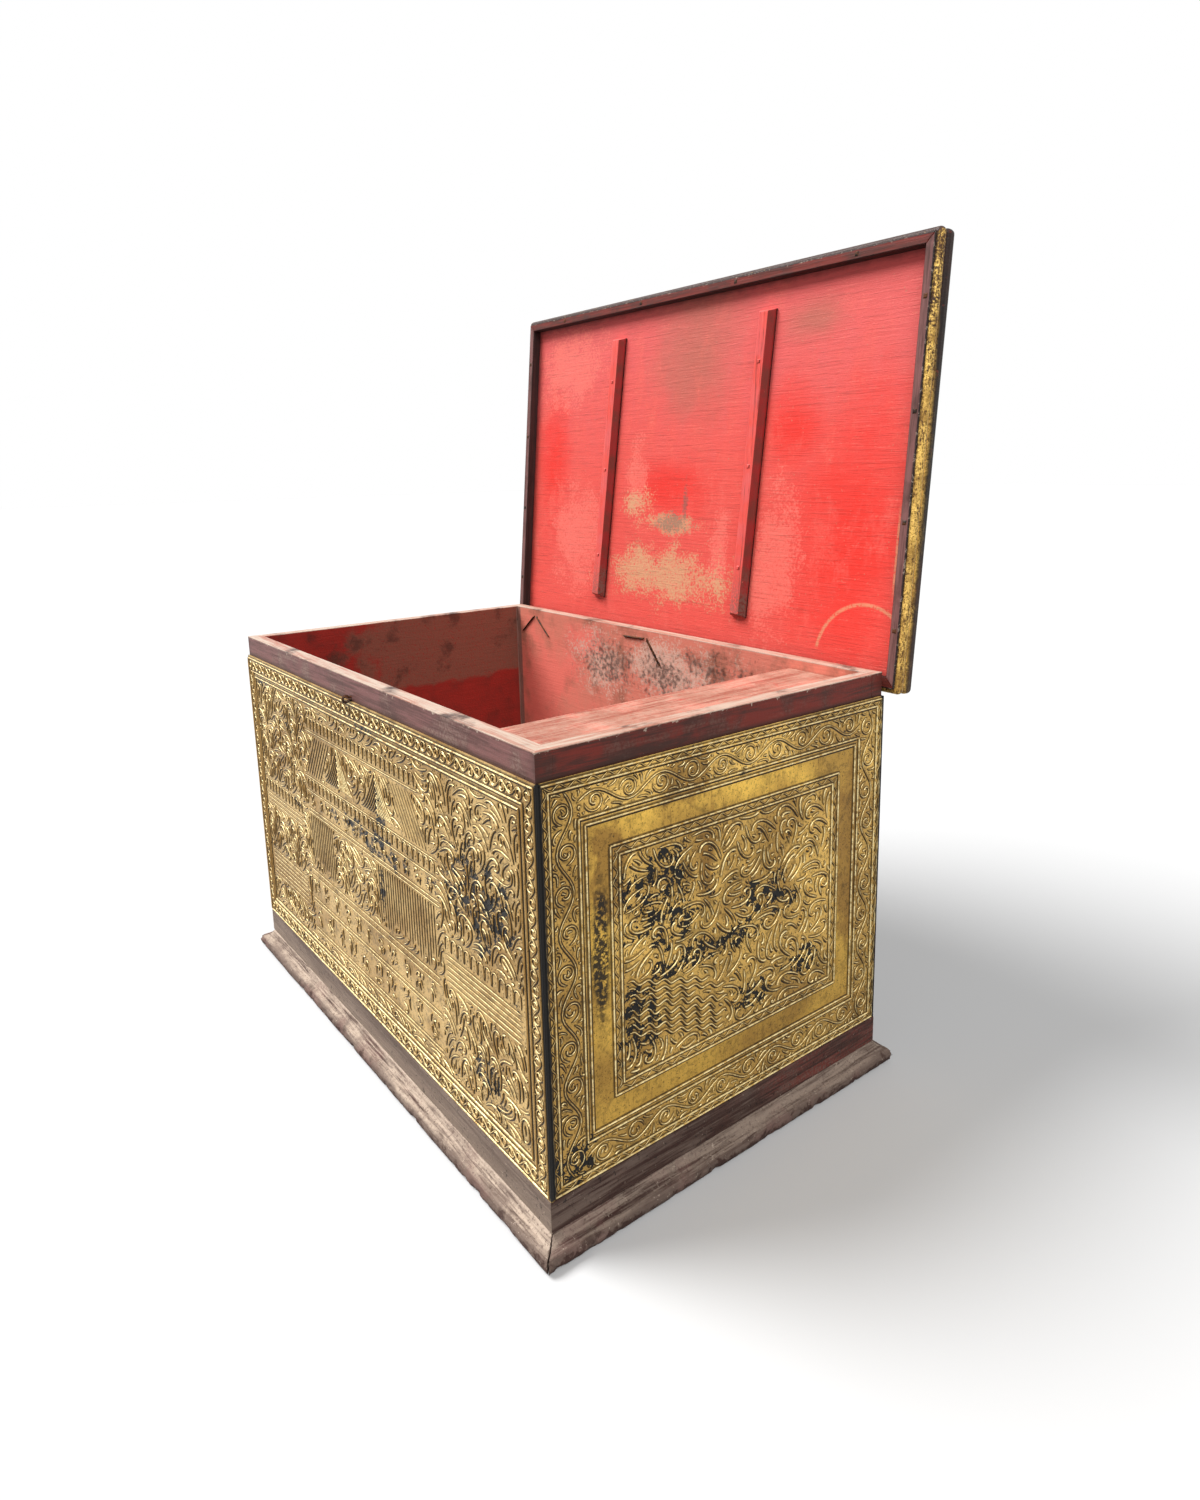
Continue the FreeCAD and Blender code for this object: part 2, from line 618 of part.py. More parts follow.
def cut_hinge_notches(rail):
    """Slots in the back rail for each staple, and behind them for the ring of each eye."""
    notches = new_sketch(rail, "XY_Plane", RAIL_UNDER)
    slots = new_sketch(rail, "XY_Plane", RAIL_UNDER)
    leg_holes = new_sketch(rail, "XY_Plane", RAIL_UNDER)
    inner, stop = f"-({RAIL_Y} - size.rail_width)", f"-{STOP_Y}"
    ring = f"-({HINGE_Y} + size.eye_radius + size.wire_radius + size.running_gap)"
    slot_half = "(size.wire_radius + size.running_gap)"
    for hinge_x in HINGE_X.values():
        middle = f"-({hinge_x})"
        draw_rectangle(notches, f"{middle} - size.notch_half_width", f"{middle} + size.notch_half_width",
                       stop, inner)
        draw_rectangle(slots, f"{middle} - {slot_half}", f"{middle} + {slot_half}", ring, stop)
        for leg in (-1, 1):
            draw_circle(leg_holes, middle, f"-({HINGE_Y} + {leg} * size.eye_leg_offset)", WIRE_HOLE)
    pocket(rail, notches, f"{NOTCH_TOP} - {RAIL_UNDER}", reverse=True)
    pocket(rail, slots, f"{NOTCH_TOP} - {RAIL_UNDER}", reverse=True)
    pocket(rail, leg_holes, "size.rail_height", reverse=True)


for side, angle in SIDES.items():
    run, out = along_and_out(side, RAIL_X, RAIL_Y)
    rail_section = rectangle(f"-{out}", f"-{out} + size.rail_width", RAIL_UNDER, LID_UNDER)
    rail = mitred_strip("lid_rail_" + side, run, out, "0", rail_section)
    if side == "back":
        cut_hinge_notches(rail)
    rail.Placement = OPEN_LID.multiply(turned(angle))
    bead = lid_bead("lid_bead_" + side, run, out)
    bead.Placement = OPEN_LID.multiply(turned(angle))

lid_holes = new_sketch(doc.lid_board_back, "XY_Plane", LID_UNDER)
for hinge_x in HINGE_X.values():
    for leg in (-1, 1):
        draw_circle(lid_holes, f"-({hinge_x})", f"-({HINGE_Y} + {leg} * size.eye_leg_offset)", WIRE_HOLE)
pocket(doc.lid_board_back, lid_holes, "size.lid_thickness", reverse=True)

# Each batten's middle along X and Y on the closed lid, and how far it lies askew, in degrees
BATTENS = {"left": (-202, -3, 3.2), "right": (168, -5, 2.4)}


def lid_batten(label, x, y, skew):
    body = new_body(label)
    flank = new_sketch(body, "YZ_Plane")
    half = "size.batten_length / 2"
    draw_loop(flank, [
        (f"-{half}", LID_UNDER),
        (f"-{half} + size.batten_slope", BATTEN_FACE),
        (f"{half} - size.batten_slope", BATTEN_FACE),
        (half, LID_UNDER),
    ])
    pad(body, flank, "size.batten_width", both_ways=True)

    def is_long_edge(edge):
        on_face = abs(edge.CenterOfMass.z - value(BATTEN_FACE)) < TOLERANCE
        return on_face and edge.BoundBox.XLength < TOLERANCE

    dress(body, "Chamfer", "Size", "size.batten_chamfer", is_long_edge)
    body.Placement = OPEN_LID.multiply(moved(x, y, 0)).multiply(turned(skew))


for side, (x, y, skew) in BATTENS.items():
    lid_batten("lid_batten_" + side, x, y, skew)


# Bent wire: hinge staples, lid eyes and the lock staple

def bent_run(points, radii):
    """Straight runs through the points, with a tangent arc of the given radius at each inner one."""
    edges = []
    start = points[0]
    for before, corner, after, radius in zip(points, points[1:], points[2:], radii):
        back = (before - corner).normalize()
        on = (after - corner).normalize()
        half_turn = back.getAngle(on) / 2
        reach = radius / math.tan(half_turn)
        arc_start, arc_end = corner + back * reach, corner + on * reach
        towards = (back + on).normalize()
        arc_middle = corner + towards * (radius / math.sin(half_turn) - radius)
        if (arc_start - start).Length > TOLERANCE:
            edges.append(Part.LineSegment(start, arc_start).toShape())
        edges.append(Part.Arc(arc_start, arc_middle, arc_end).toShape())
        start = arc_end
    edges.append(Part.LineSegment(start, points[-1]).toShape())
    return edges


def keyhole(centre, out, across):
    """Ring of an eye and its neck, in the plane of its leg direction and the direction across."""
    ring, neck, leg = value("size.eye_radius"), value("size.eye_neck_radius"), value("size.eye_leg_offset")
    rise = math.sqrt((ring + neck) ** 2 - (leg + neck) ** 2)

    def place(sideways, outward):
        return centre + across * sideways + out * outward

    def neck_arc(side):
        touch = ring / (ring + neck)
        on_ring = place(side * (leg + neck) * touch, rise * touch)
        on_leg = place(side * leg, rise)
        neck_centre = place(side * (leg + neck), rise)
        middle = neck_centre + ((on_ring - neck_centre) + (on_leg - neck_centre)).normalize() * neck
        return on_leg, middle, on_ring

    left_leg, left_middle, left_ring = neck_arc(-1)
    right_leg, right_middle, right_ring = neck_arc(1)
    bottom = place(0, -ring)
    turn = math.pi - math.atan2(leg + neck, rise)
    left_side = place(-ring * math.sin(turn / 2), -ring * math.cos(turn / 2))
    right_side = place(ring * math.sin(turn / 2), -ring * math.cos(turn / 2))
    edges = [
        Part.Arc(left_leg, left_middle, left_ring).toShape(),
        Part.Arc(left_ring, left_side, bottom).toShape(),
        Part.Arc(bottom, right_side, right_ring).toShape(),
        Part.Arc(right_ring, right_middle, right_leg).toShape(),
    ]
    return edges, left_leg, right_leg


def bent_wire(label, edges):
    """Forged square wire along a path of straight runs and arcs."""
    path = doc.addObject("Part::Feature", label + "_path")
    path.Shape = Part.Wire(edges)
    first = path.Shape.OrderedEdges[0]
    start, tangent = first.valueAt(first.FirstParameter), first.tangentAt(first.FirstParameter)
    section = doc.addObject("Part::RegularPolygon", label + "_section")
    section.Polygon = WIRE_SIDES
    section.setExpression("Circumradius", "size.wire_radius")
    section.Placement = FreeCAD.Placement(start, FreeCAD.Rotation(VERTICAL, tangent))
    wire = doc.addObject("Part::Sweep", label)
    wire.Label = label
    wire.Sections = [section]
    wire.Spine = (path, ["Edge%d" % number for number in range(1, len(edges) + 1)])
    wire.Solid = True
    pieces.append(wire)


def hinge_staple(side):
    """U of wire in the back wall, its legs spread and clinched on the inside where they come through."""
    x, y, z = value(HINGE_X[side]), value(HINGE_Y), value(HINGE_Z)
    half = value("size.staple_half_width")
    corners = [FreeCAD.Vector(x - half, y, z), FreeCAD.Vector(x + half, y, z)]
    if side not in CLINCH_ANGLES:
        end = value(f"{INNER_Y} + size.blind_leg_stop")
        route = [FreeCAD.Vector(x - half, end, z), *corners, FreeCAD.Vector(x + half, end, z)]
        bent_wire("hinge_staple_" + side, bent_run(route, (half, half)))
        return
    bend = value("size.clinch_radius")
    flat = value(f"{INNER_Y} - size.wire_radius")
    length = value("size.clinch_length")
    elbows = [FreeCAD.Vector(x - half, flat, z), FreeCAD.Vector(x + half, flat, z)]
    tips = []
    for elbow, angle in zip(elbows, CLINCH_ANGLES[side]):
        lie = FreeCAD.Vector(math.cos(math.radians(angle)), 0, math.sin(math.radians(angle)))
        tips.append(elbow + lie * length)
    route = [tips[0], elbows[0], corners[0], corners[1], elbows[1], tips[1]]
    bent_wire("hinge_staple_" + side, bent_run(route, (bend, half, half, bend)))


def hinge_eye(side):
    """Eye linked through its staple, its legs up through the lid and clinched on top."""
    centre = FreeCAD.Vector(value(HINGE_X[side]), value(HINGE_Y), value(HINGE_Z))
    front = FreeCAD.Vector(0, -1, 0)
    ring, front_leg, back_leg = keyhole(centre, VERTICAL, FreeCAD.Vector(0, 1, 0))
    bend = (value("size.clinch_radius"),)
    top = value(f"{LID_TOP} + size.wire_radius")
    length = value("size.lid_clinch_length")
    short = value(f"{LID_Y} - {HINGE_Y} - size.eye_leg_offset - size.lid_edge_round")
    front_elbow = FreeCAD.Vector(centre.x, front_leg.y, top)
    back_elbow = FreeCAD.Vector(centre.x, back_leg.y, top)
    edges = bent_run([front_elbow + front * length, front_elbow, front_leg], bend)
    edges += ring
    edges += bent_run([back_leg, back_elbow, back_elbow - front * short], bend)
    for edge in edges:
        edge.Placement = OPEN_LID.multiply(edge.Placement)
    bent_wire("hinge_eye_" + side, edges)


def lock_staple():
    """Eye that stands out of the front rim, its legs through the wall and clinched up and down."""
    rim = value(WALL_Y)
    centre = FreeCAD.Vector(value("size.lock_x"), -rim - value("size.lock_reach"), value(LOCK_Z))
    inwards = FreeCAD.Vector(0, 1, 0)
    ring, low_leg, high_leg = keyhole(centre, inwards, VERTICAL)
    bend = (value("size.clinch_radius"),)
    flat = -value(f"{INNER_Y} - size.wire_radius")
    length = value("size.lid_clinch_length")
    low_elbow = FreeCAD.Vector(centre.x, flat, low_leg.z)
    high_elbow = FreeCAD.Vector(centre.x, flat, high_leg.z)
    edges = bent_run([low_elbow - VERTICAL * length, low_elbow, low_leg], bend)
    edges += ring
    edges += bent_run([high_leg, high_elbow, high_elbow + VERTICAL * length], bend)
    bent_wire("lock_staple", edges)


for side in HINGE_X:
    hinge_staple(side)
    hinge_eye(side)
lock_staple()


# Nails, driven upwards from the places of their heads

def square(half, height):
    corners = [(-half, -half), (half, -half), (half, half), (-half, half), (-half, -half)]
    return Part.makePolygon([FreeCAD.Vector(x, y, height) for x, y in corners])


def nail(length):
    """A forged nail: a four-sided head below height 0, and a square shank that tapers up to its point."""
    shank, head, crown = (value("size." + name) for name in ("nail_shank", "nail_head", "nail_head_height"))
    cap = Part.makeLoft([square(head / 2, -crown), square(head, 0)], True, True)
    stem = Part.makeLoft([square(shank, 0), square(shank / 4, length)], True, True)
    return cap.fuse(stem).Solids[0]


def nail_group(label, length, heads, placement):
    """One node of separate nails, their heads at the given places."""
    group = doc.addObject("Part::Feature", label)
    group.Label = label
    one = nail(value(length))
    copies = []
    for head in heads:
        copy = one.copy()
        copy.translate(head)
        copies.append(copy)
    group.Shape = Part.makeCompound(copies)
    group.Placement = placement
    pieces.append(group)


def spread(half_run, count):
    """Evenly spaced places along a run, half a pitch in from its ends."""
    pitch = 2 * half_run / count
    return [-half_run + pitch * (number + 0.5) for number in range(count)]


def heads_around(half_x, half_y, height):
    """Places of nail heads along the four sides of a rectangle."""
    x, y, z = value(half_x), value(half_y), value(height)
    places = [(along, side) for along in spread(x, NAILS_PER_SIDE) for side in (-y, y)]
    places += [(side, along) for side in (-x, x) for along in spread(y, NAILS_PER_SIDE)]
    return [FreeCAD.Vector(*place, z) for place in places]


rail_nails = heads_around(f"{RAIL_X} - size.rail_width / 2", f"{RAIL_Y} - size.rail_width / 2", RAIL_UNDER)
nail_group("lid_rail_nails", "size.rail_nail_length", rail_nails, OPEN_LID)

batten_nails = []
for x, y, skew in BATTENS.values():
    on_lid = moved(x, y, 0).multiply(turned(skew))
    for along in spread(value("size.batten_length / 2"), NAILS_PER_BATTEN):
        batten_nails.append(on_lid.multVec(FreeCAD.Vector(0, along, value(BATTEN_FACE))))
nail_group("lid_batten_nails", "size.batten_nail_length", batten_nails, OPEN_LID)

bottom_nails = heads_around(f"{INNER_X} + size.bottom_rebate / 2", f"{INNER_Y} + size.bottom_rebate / 2",
                            f"{WALL_BOTTOM} + size.nail_head_height")
nail_group("bottom_nails", "size.bottom_nail_length", bottom_nails, FreeCAD.Placement())

wall_foot = "(size.wall_thickness - size.bottom_rebate) / 2"
plinth_nails = heads_around(f"{WALL_X} - {wall_foot}", f"{WALL_Y} - {wall_foot}", "size.nail_head_height")
nail_group("plinth_nails", "size.plinth_nail_length", plinth_nails, FreeCAD.Placement())


# Check every object, then write each piece

doc.recompute()
for thing in doc.Objects:
    if "Invalid" in thing.State or "Error" in thing.State:
        raise RuntimeError("%s failed: %s" % (thing.Label, thing.State))
    if thing.TypeId == "PartDesign::Pocket":
        if thing.Shape.Volume > thing.BaseFeature.Shape.Volume - TOLERANCE:
            raise RuntimeError("%s cuts nothing" % thing.Label)
for piece in pieces:
    if piece.Shape.isNull() or not piece.Shape.isValid():
        raise RuntimeError("%s has no valid shape" % piece.Label)

os.makedirs("parts", exist_ok=True)
for piece in pieces:
    piece.Shape.exportStep(os.path.join("parts", piece.Label + ".step"))
    print("%-22s %d solids %12.1f mm3" % (piece.Label, len(piece.Shape.Solids), piece.Shape.Volume))
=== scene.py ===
"""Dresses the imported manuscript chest: gilded thread relief, worn lacquer, iron and the stage round it."""

import json
import math
import random

import bpy
from mathutils import Matrix, Vector, noise

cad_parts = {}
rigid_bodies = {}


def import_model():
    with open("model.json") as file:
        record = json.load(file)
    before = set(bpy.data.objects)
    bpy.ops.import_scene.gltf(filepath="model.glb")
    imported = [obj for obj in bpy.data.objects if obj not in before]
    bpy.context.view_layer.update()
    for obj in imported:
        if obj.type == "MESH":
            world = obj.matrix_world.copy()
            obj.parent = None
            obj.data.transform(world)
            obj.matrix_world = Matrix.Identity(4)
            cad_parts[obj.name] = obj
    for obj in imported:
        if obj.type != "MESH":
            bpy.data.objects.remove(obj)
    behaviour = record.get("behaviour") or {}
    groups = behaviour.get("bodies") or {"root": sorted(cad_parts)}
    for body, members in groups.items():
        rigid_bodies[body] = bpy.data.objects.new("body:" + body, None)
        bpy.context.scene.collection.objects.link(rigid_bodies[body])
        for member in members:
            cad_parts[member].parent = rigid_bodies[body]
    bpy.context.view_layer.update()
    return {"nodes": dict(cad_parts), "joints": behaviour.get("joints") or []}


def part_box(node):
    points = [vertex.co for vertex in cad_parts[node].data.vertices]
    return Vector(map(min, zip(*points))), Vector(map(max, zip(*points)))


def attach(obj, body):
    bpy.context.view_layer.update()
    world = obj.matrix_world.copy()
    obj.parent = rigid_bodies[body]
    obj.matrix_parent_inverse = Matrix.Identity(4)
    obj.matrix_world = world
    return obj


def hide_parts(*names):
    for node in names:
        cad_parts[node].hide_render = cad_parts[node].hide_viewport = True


bl_info = {
    "name": "Manuscript chest",
    "version": (1, 0, 0),
    "blender": (4, 5, 0),
    "location": "3D View > Sidebar > Chest",
    "description": "Gilded thread relief, worn lacquer and a plain stage for a lidded manuscript chest",
    "category": "Object",
}

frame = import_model()

# Places of the chest, read from its solids
WALL_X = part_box("right_wall")[1].x
WALL_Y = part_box("back_wall")[1].y
WALL_THICKNESS = WALL_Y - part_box("back_wall")[0].y
INNER_X = WALL_X - WALL_THICKNESS
INNER_Y = WALL_Y - WALL_THICKNESS
RIM_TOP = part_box("front_wall")[1].z
RELIEF_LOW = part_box("front_relief")[0].z
RELIEF_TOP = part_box("front_relief")[1].z
FRONT_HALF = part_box("front_relief")[1].x
END_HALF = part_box("right_relief")[1].y
RAIL_OUTER_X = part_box("lid_rail_right")[1].x
RAIL_INNER_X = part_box("lid_rail_right")[0].x
LID_EDGE_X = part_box("lid_board_front")[1].x
LID_JOINT = [joint for joint in frame["joints"] if joint["name"] == "lid_hinge"][0]
LID_PIVOT = Vector(LID_JOINT["pos_m"])
LID_SWING = math.radians(LID_JOINT["range_deg"][1])
LID_TURN = Matrix.Rotation(LID_SWING, 4, "X")
LID_CLOSING = Matrix.Translation(LID_PIVOT) @ LID_TURN @ Matrix.Translation(-LID_PIVOT)
SIDES = ("front", "right", "back", "left")
FULL_TURN = 2 * math.pi
DULL_SHINE = 0.18

# How solids are joined, flattened and rounded, and what counts as a smooth edge
JOIN_DISTANCE = 1e-5
FLAT_ANGLE = math.radians(2)
ROUNDED_ANGLE = math.radians(40)
ROUNDED_STEPS = 2
SMOOTH_THREAD = math.radians(55)
SMOOTH_PLINTH = math.radians(50)


def closed_depths(node):
    """How far in front of the chest's middle a piece of the lid begins and ends when the lid is closed."""
    piece = frame["nodes"][node]
    depths = [-(LID_CLOSING @ piece.matrix_world @ corner.co).y for corner in piece.data.vertices]
    return min(depths), max(depths)


RAIL_INNER_Y, RAIL_OUTER_Y = closed_depths("lid_rail_front")


def float_property(name, description, default, **kind):
    return bpy.props.FloatProperty(name=name, description=description, default=default, **kind)


def vector_property(name, description, default, **kind):
    return bpy.props.FloatVectorProperty(name=name, description=description, default=default, **kind)


def metres(name, description, default):
    return float_property(name, description, default, unit="LENGTH")


def tint(name, description, default):
    return vector_property(name, description, default, subtype="COLOR")


class ChestSizes(bpy.types.PropertyGroup):
    """Sizes of the thread relief and of the wear."""

    ground: metres("Ground", "Height of the relief's ground above the wall", 0.0025)
    thread_width: metres("Thread width", "Width of a raised thread at its foot", 0.0070)
    thread_height: metres("Thread height", "Height of a raised thread above the ground", 0.0020)
    thread_step: metres("Thread step", "Length of one straight stretch of a thread", 0.0016)
    field_gap: metres("Field gap", "Distance between neighbouring threads of a field", 0.0058)
    border_gap: metres("Border gap", "Distance between neighbouring threads of a border", 0.0053)
    scroll_pitch: metres("Scroll pitch", "Length of one curl of the ends' scroll border", 0.046)
    wear_cell: metres("Wear cell", "Size of the faces of worn pieces", 0.0024)
    wear_depth: metres("Wear depth", "How unevenly the plinth is worn", 0.0012)
    chip_depth: metres("Chip depth", "Depth of the chips along the plinth's foot", 0.0017)
    edge_wear: metres("Edge wear", "How far the edges of the boards are worn round", 0.0012)


class ChestColours(bpy.types.PropertyGroup):
    """Colours of the chest's finishes."""

    # Highlight gold is a painted highlight: gilding rubbed bright on the crowns, shown only on their sides
    # towards the light.
    highlight_gold: tint("Bright gold", "Gilding on the backs of the threads", (1.00, 0.82, 0.42))
    gold: tint("Gold", "Gilding of the ends' plain bands", (1.00, 0.625, 0.115))
    leaf_gold: tint("Leaf gold", "Darker grains in the gilding of the lid's moulding", (0.76, 0.48, 0.10))
    pale_gold: tint("Pale gold", "Gilding of the ends' worked parts and of the lid", (1.00, 0.645, 0.180))
    # Front gold is the ends' gilding painted paler and duller, a painted sheen of reflected light.
    front_gold_with_sheen: tint("Front gold", "Gold of the front, duller than that of the ends", (0.72, 0.490, 0.202))
    # Old gold also paints shade on the crowns' flanks that look away from the light.
    old_gold_and_shade: tint("Old gold", "Gilding that has turned brown", (0.31, 0.160, 0.036))
    # Grime also carries painted shade on the threads' feet that look away from the light.
    grime_and_shade: tint("Grime", "Dirt in the hollows of the relief", (0.030, 0.019, 0.008))
    # Black also paints the shadow along the foot of the battens' right flanks.
    black: tint("Black lacquer", "Lacquer under the gilding and on the outside", (0.011, 0.010, 0.009))
    vermilion: tint("Vermilion", "Lacquer inside the chest", (0.56, 0.034, 0.024))
    dusty_red: tint("Dusty red", "Lacquer inside the chest under dust", (0.40, 0.145, 0.095))
    faded_red: tint("Faded red", "Lacquer inside the back and on the till", (0.72, 0.220, 0.155))
    mould: tint("Mould", "Pale bloom on the inside of the back", (0.74, 0.45, 0.35))
    coral: tint("Coral", "Lacquer inside the lid", (0.80, 0.095, 0.075))
    scarlet: tint("Scarlet", "Lacquer inside the lid where it has kept its colour", (0.84, 0.036, 0.025))
    # Crimson shade is painted shade on the battens' flanks that look to the right.
    crimson_shade: tint("Crimson", "Lacquer on the shaded sides of the battens", (0.30, 0.022, 0.020))
    rose: tint("Rose", "Lacquer of the battens and near the lid's front edge", (0.76, 0.120, 0.112))
    pink: tint("Pink", "Faded lacquer inside the lid and the back", (0.92, 0.20, 0.155))
    tan: tint("Tan", "Ground that shows where the lid is rubbed through", (0.70, 0.37, 0.20))
    rim: tint("Rim", "Red-brown lacquer of the rim", (0.185, 0.030, 0.022))
    mauve: tint("Mauve", "Rim and rails where they are dusty", (0.215, 0.095, 0.088))
    # Umber also paints the shade on the inside faces other than the back.
    umber: tint("Umber", "Darkened lacquer", (0.050, 0.024, 0.019))
    pale_wood: tint("Pale wood", "Wood where the lacquer is worn off", (0.55, 0.44, 0.35))
    dust: tint("Dust", "Dust on level faces", (0.52, 0.41, 0.32))
    # Plinth also paints the shade on the lower part of the plinth's nose.
    plinth: tint("Plinth", "Worn lacquer of plinth and bands, and grey dirt", (0.165, 0.115, 0.092))
    iron: tint("Iron", "Wire and nails", (0.030, 0.022, 0.018))
    rust: tint("Rust", "Rust on the iron", (0.13, 0.048, 0.020))


class ChestStage(bpy.types.PropertyGroup):
    """Camera and lights."""

    camera_place: vector_property(
        "Camera place", "Where the camera stands", (1.230145, -0.758040, 0.856), subtype="TRANSLATION")
    camera_look: vector_property(
        "Camera look", "Direction that the camera looks in", (-0.77045, 0.60759, -0.19297),
        subtype="DIRECTION")
    camera_roll: float_property(
        "Camera roll", "Turn of the camera about its own axis", -0.018, subtype="ANGLE")
    lens: float_property("Lens", "Focal length in millimetres", 22.77)
    shift: vector_property(
        "Shift", "Shift of the picture, as a share of its longer side", (-0.0220, -0.0641), size=2)
    key_from: vector_property(
        "Key from", "Direction that the main light comes from", (-0.48, -0.42, 0.77), subtype="DIRECTION")
    key_strength: float_property("Key strength", "Strength of the main light", 3.9)
    side_from: vector_property(
        "Side from", "Direction that the light on the right end comes from", (0.60, -0.36, 0.71),
        subtype="DIRECTION")
    side_strength: float_property("Side strength", "Strength of the light on the right end", 1.85)
    sun_spread: float_property(
        "Sun spread", "How wide both lights look, which softens their shadows", math.radians(30),
        subtype="ANGLE")
    sky: float_property("Sky", "Strength of the light from all round", 0.30)


# Node trees

class Tree:
    """A node tree, with short ways to add the nodes that the finishes are made of."""

    def __init__(self, node_tree):
        self.tree = node_tree
        self.tree.nodes.clear()

    def put(self, socket, value):
        if isinstance(value, bpy.types.NodeSocket):
            self.tree.links.new(value, socket)
        else:
            socket.default_value = value

    def add(self, kind, inputs, **settings):
        node = self.tree.nodes.new(kind)
        for name, value in settings.items():
            setattr(node, name, value)
        for name, value in inputs.items():
            self.put(node.inputs[name], value)
        return node

    def math(self, operation, first, second=0.0):
        return self.add("ShaderNodeMath", {0: first, 1: second}, operation=operation).outputs[0]

    def most(self, *values):
        """The greatest of several values."""
        result = values[0]
        for value in values[1:]:
            result = self.math("MAXIMUM", result, value)
        return result

    def all(self, *values):
        """The product of several values."""
        result = values[0]
        for value in values[1:]:
            result = self.math("MULTIPLY", result, value)
        return result

    def least(self, first, second):
        return self.math("MINIMUM", first, second)

    def plus(self, first, second):
        return self.math("ADD", first, second)

    def minus(self, first, second):
        return self.math("SUBTRACT", first, second)

    def size(self, value):
        return self.math("ABSOLUTE", value)

    def past(self, value, limit):
        """1 past the limit, 0 before it."""
        return self.math("GREATER_THAN", value, limit)

    def rest(self, mask):
        """What a mask leaves over."""
        return self.minus(1.0, mask)

    def sway(self, value, reach):
        """A noise as a shift to both sides of 0."""
        return self.all(self.minus(value, 0.5), reach)

    def vector(self, operation, first, second=(0, 0, 0)):
        node = self.add("ShaderNodeVectorMath", {0: first, 1: second}, operation=operation)
        return node.outputs["Value" if operation == "LENGTH" else "Vector"]

    def split(self, vector):
        return self.add("ShaderNodeSeparateXYZ", {"Vector": vector}).outputs

    def ramp(self, value, low, high):
        """0 before low, 1 past high and smooth between them; high may be the smaller one."""
        node = self.add("ShaderNodeMapRange", {"Value": value, "From Min": low, "From Max": high},
                        interpolation_type="SMOOTHSTEP")
        return node.outputs["Result"]

    def mix(self, factor, first, second):
        """From one colour to another."""
        first, second = (value if isinstance(value, bpy.types.NodeSocket) else (*value, 1.0)
                         for value in (first, second))
        return self.add("ShaderNodeMix", {0: factor, 6: first, 7: second}, data_type="RGBA").outputs[2]

    def coat(self, paint, colour, *masks):
        """A paint with another colour over it, as far as all the masks let it through."""
        return self.mix(self.all(*masks), paint, colour)

    def blend(self, factor, first, second):
        """From one number to another."""
        return self.add("ShaderNodeMix", {0: factor, 2: first, 3: second}, data_type="FLOAT").outputs[0]

    def noise(self, vector, scale, detail=4.0, roughness=0.55, distortion=0.0):
        node = self.add("ShaderNodeTexNoise", {"Vector": vector, "Scale": scale, "Detail": detail,
                                               "Roughness": roughness, "Distortion": distortion})
        return node.outputs["Fac"]

    def mottling(self, vector, scale, detail=5.0):
        """Cloudy unevenness, with about so many clouds to a metre."""
        return self.noise(vector, scale, detail, 0.62)

    def grit(self, vector, scale):
        """Fine unevenness, with about so many grains to a metre."""
        return self.noise(vector, scale, 4.0, 0.65)

    def place(self):
        """Where a point of the piece is, in the frame of the chest with its lid open."""
        return self.add("ShaderNodeTexCoord", {}).outputs["Object"]

    def facing(self, kind="Normal"):
        """The direction that a face looks in, as x, y and z."""
        return self.split(self.add("ShaderNodeNewGeometry", {}).outputs[kind])

    def group(self, name, **inputs):
        """The mask of a shared effect, which is made when it is first used."""
        if name not in bpy.data.node_groups:
            EFFECTS[name]()
        node = self.add("ShaderNodeGroup", {}, node_tree=bpy.data.node_groups[name])
        for key, value in inputs.items():
            self.put(node.inputs[key.title()], value)
        return node.outputs[0]

    def flakes(self, vector, scale, amount, soft):
        return self.group("flakes", vector=vector, scale=scale, amount=amount, soft=soft)

    def grain(self, vector, stretch):
        return self.group("grain", vector=vector, stretch=stretch)

    def patches(self, vector, spots, ragged=1.1, scale=24.0, soft=0.0):
        """1 inside any of the ragged spots, each given as its middle and its reach."""
        edge = {"ragged": ragged, "scale": scale, "soft": soft}
        return self.most(*(self.group("patch", vector=vector, centre=middle, reach=reach, **edge)
                           for middle, reach in spots))


def speckled(tree, patch, fine):
    """A patch that breaks up into specks towards its edge."""
    return tree.ramp(tree.plus(tree.all(patch, 0.36), fine), 0.62, 0.86)


def new_group(name, sockets):
    """A shader group with the given inputs (name to kind) and one number as its output."""
    group = bpy.data.node_groups.new(name, "ShaderNodeTree")
    for title, kind in sockets.items():
        group.interface.new_socket(title, in_out="INPUT", socket_type="NodeSocket" + kind)
    group.interface.new_socket("Mask", in_out="OUTPUT", socket_type="NodeSocketFloat")
    tree = Tree(group)
    given = tree.add("NodeGroupInput", {}).outputs
    return tree, given, tree.add("NodeGroupOutput", {}).inputs[0]


def make_patch_group():
    """A ragged patch: 1 in its middle, 0 outside."""
    tree, given, result = new_group(
        "patch", {"Vector": "Vector", "Centre": "Vector", "Reach": "Vector",
                  "Ragged": "Float", "Scale": "Float", "Soft": "Float"})
    offset = tree.vector("SUBTRACT", given["Vector"], given["Centre"])
    distance = tree.vector("LENGTH", tree.vector("DIVIDE", offset, given["Reach"]))
    clouds = tree.mottling(given["Vector"], given["Scale"])
    ragged = tree.plus(distance, tree.sway(clouds, tree.all(given["Ragged"], 2.0)))
    outside, inside = tree.plus(1.0, given["Soft"]), tree.minus(0.55, given["Soft"])
    tree.put(result, tree.ramp(ragged, outside, inside))


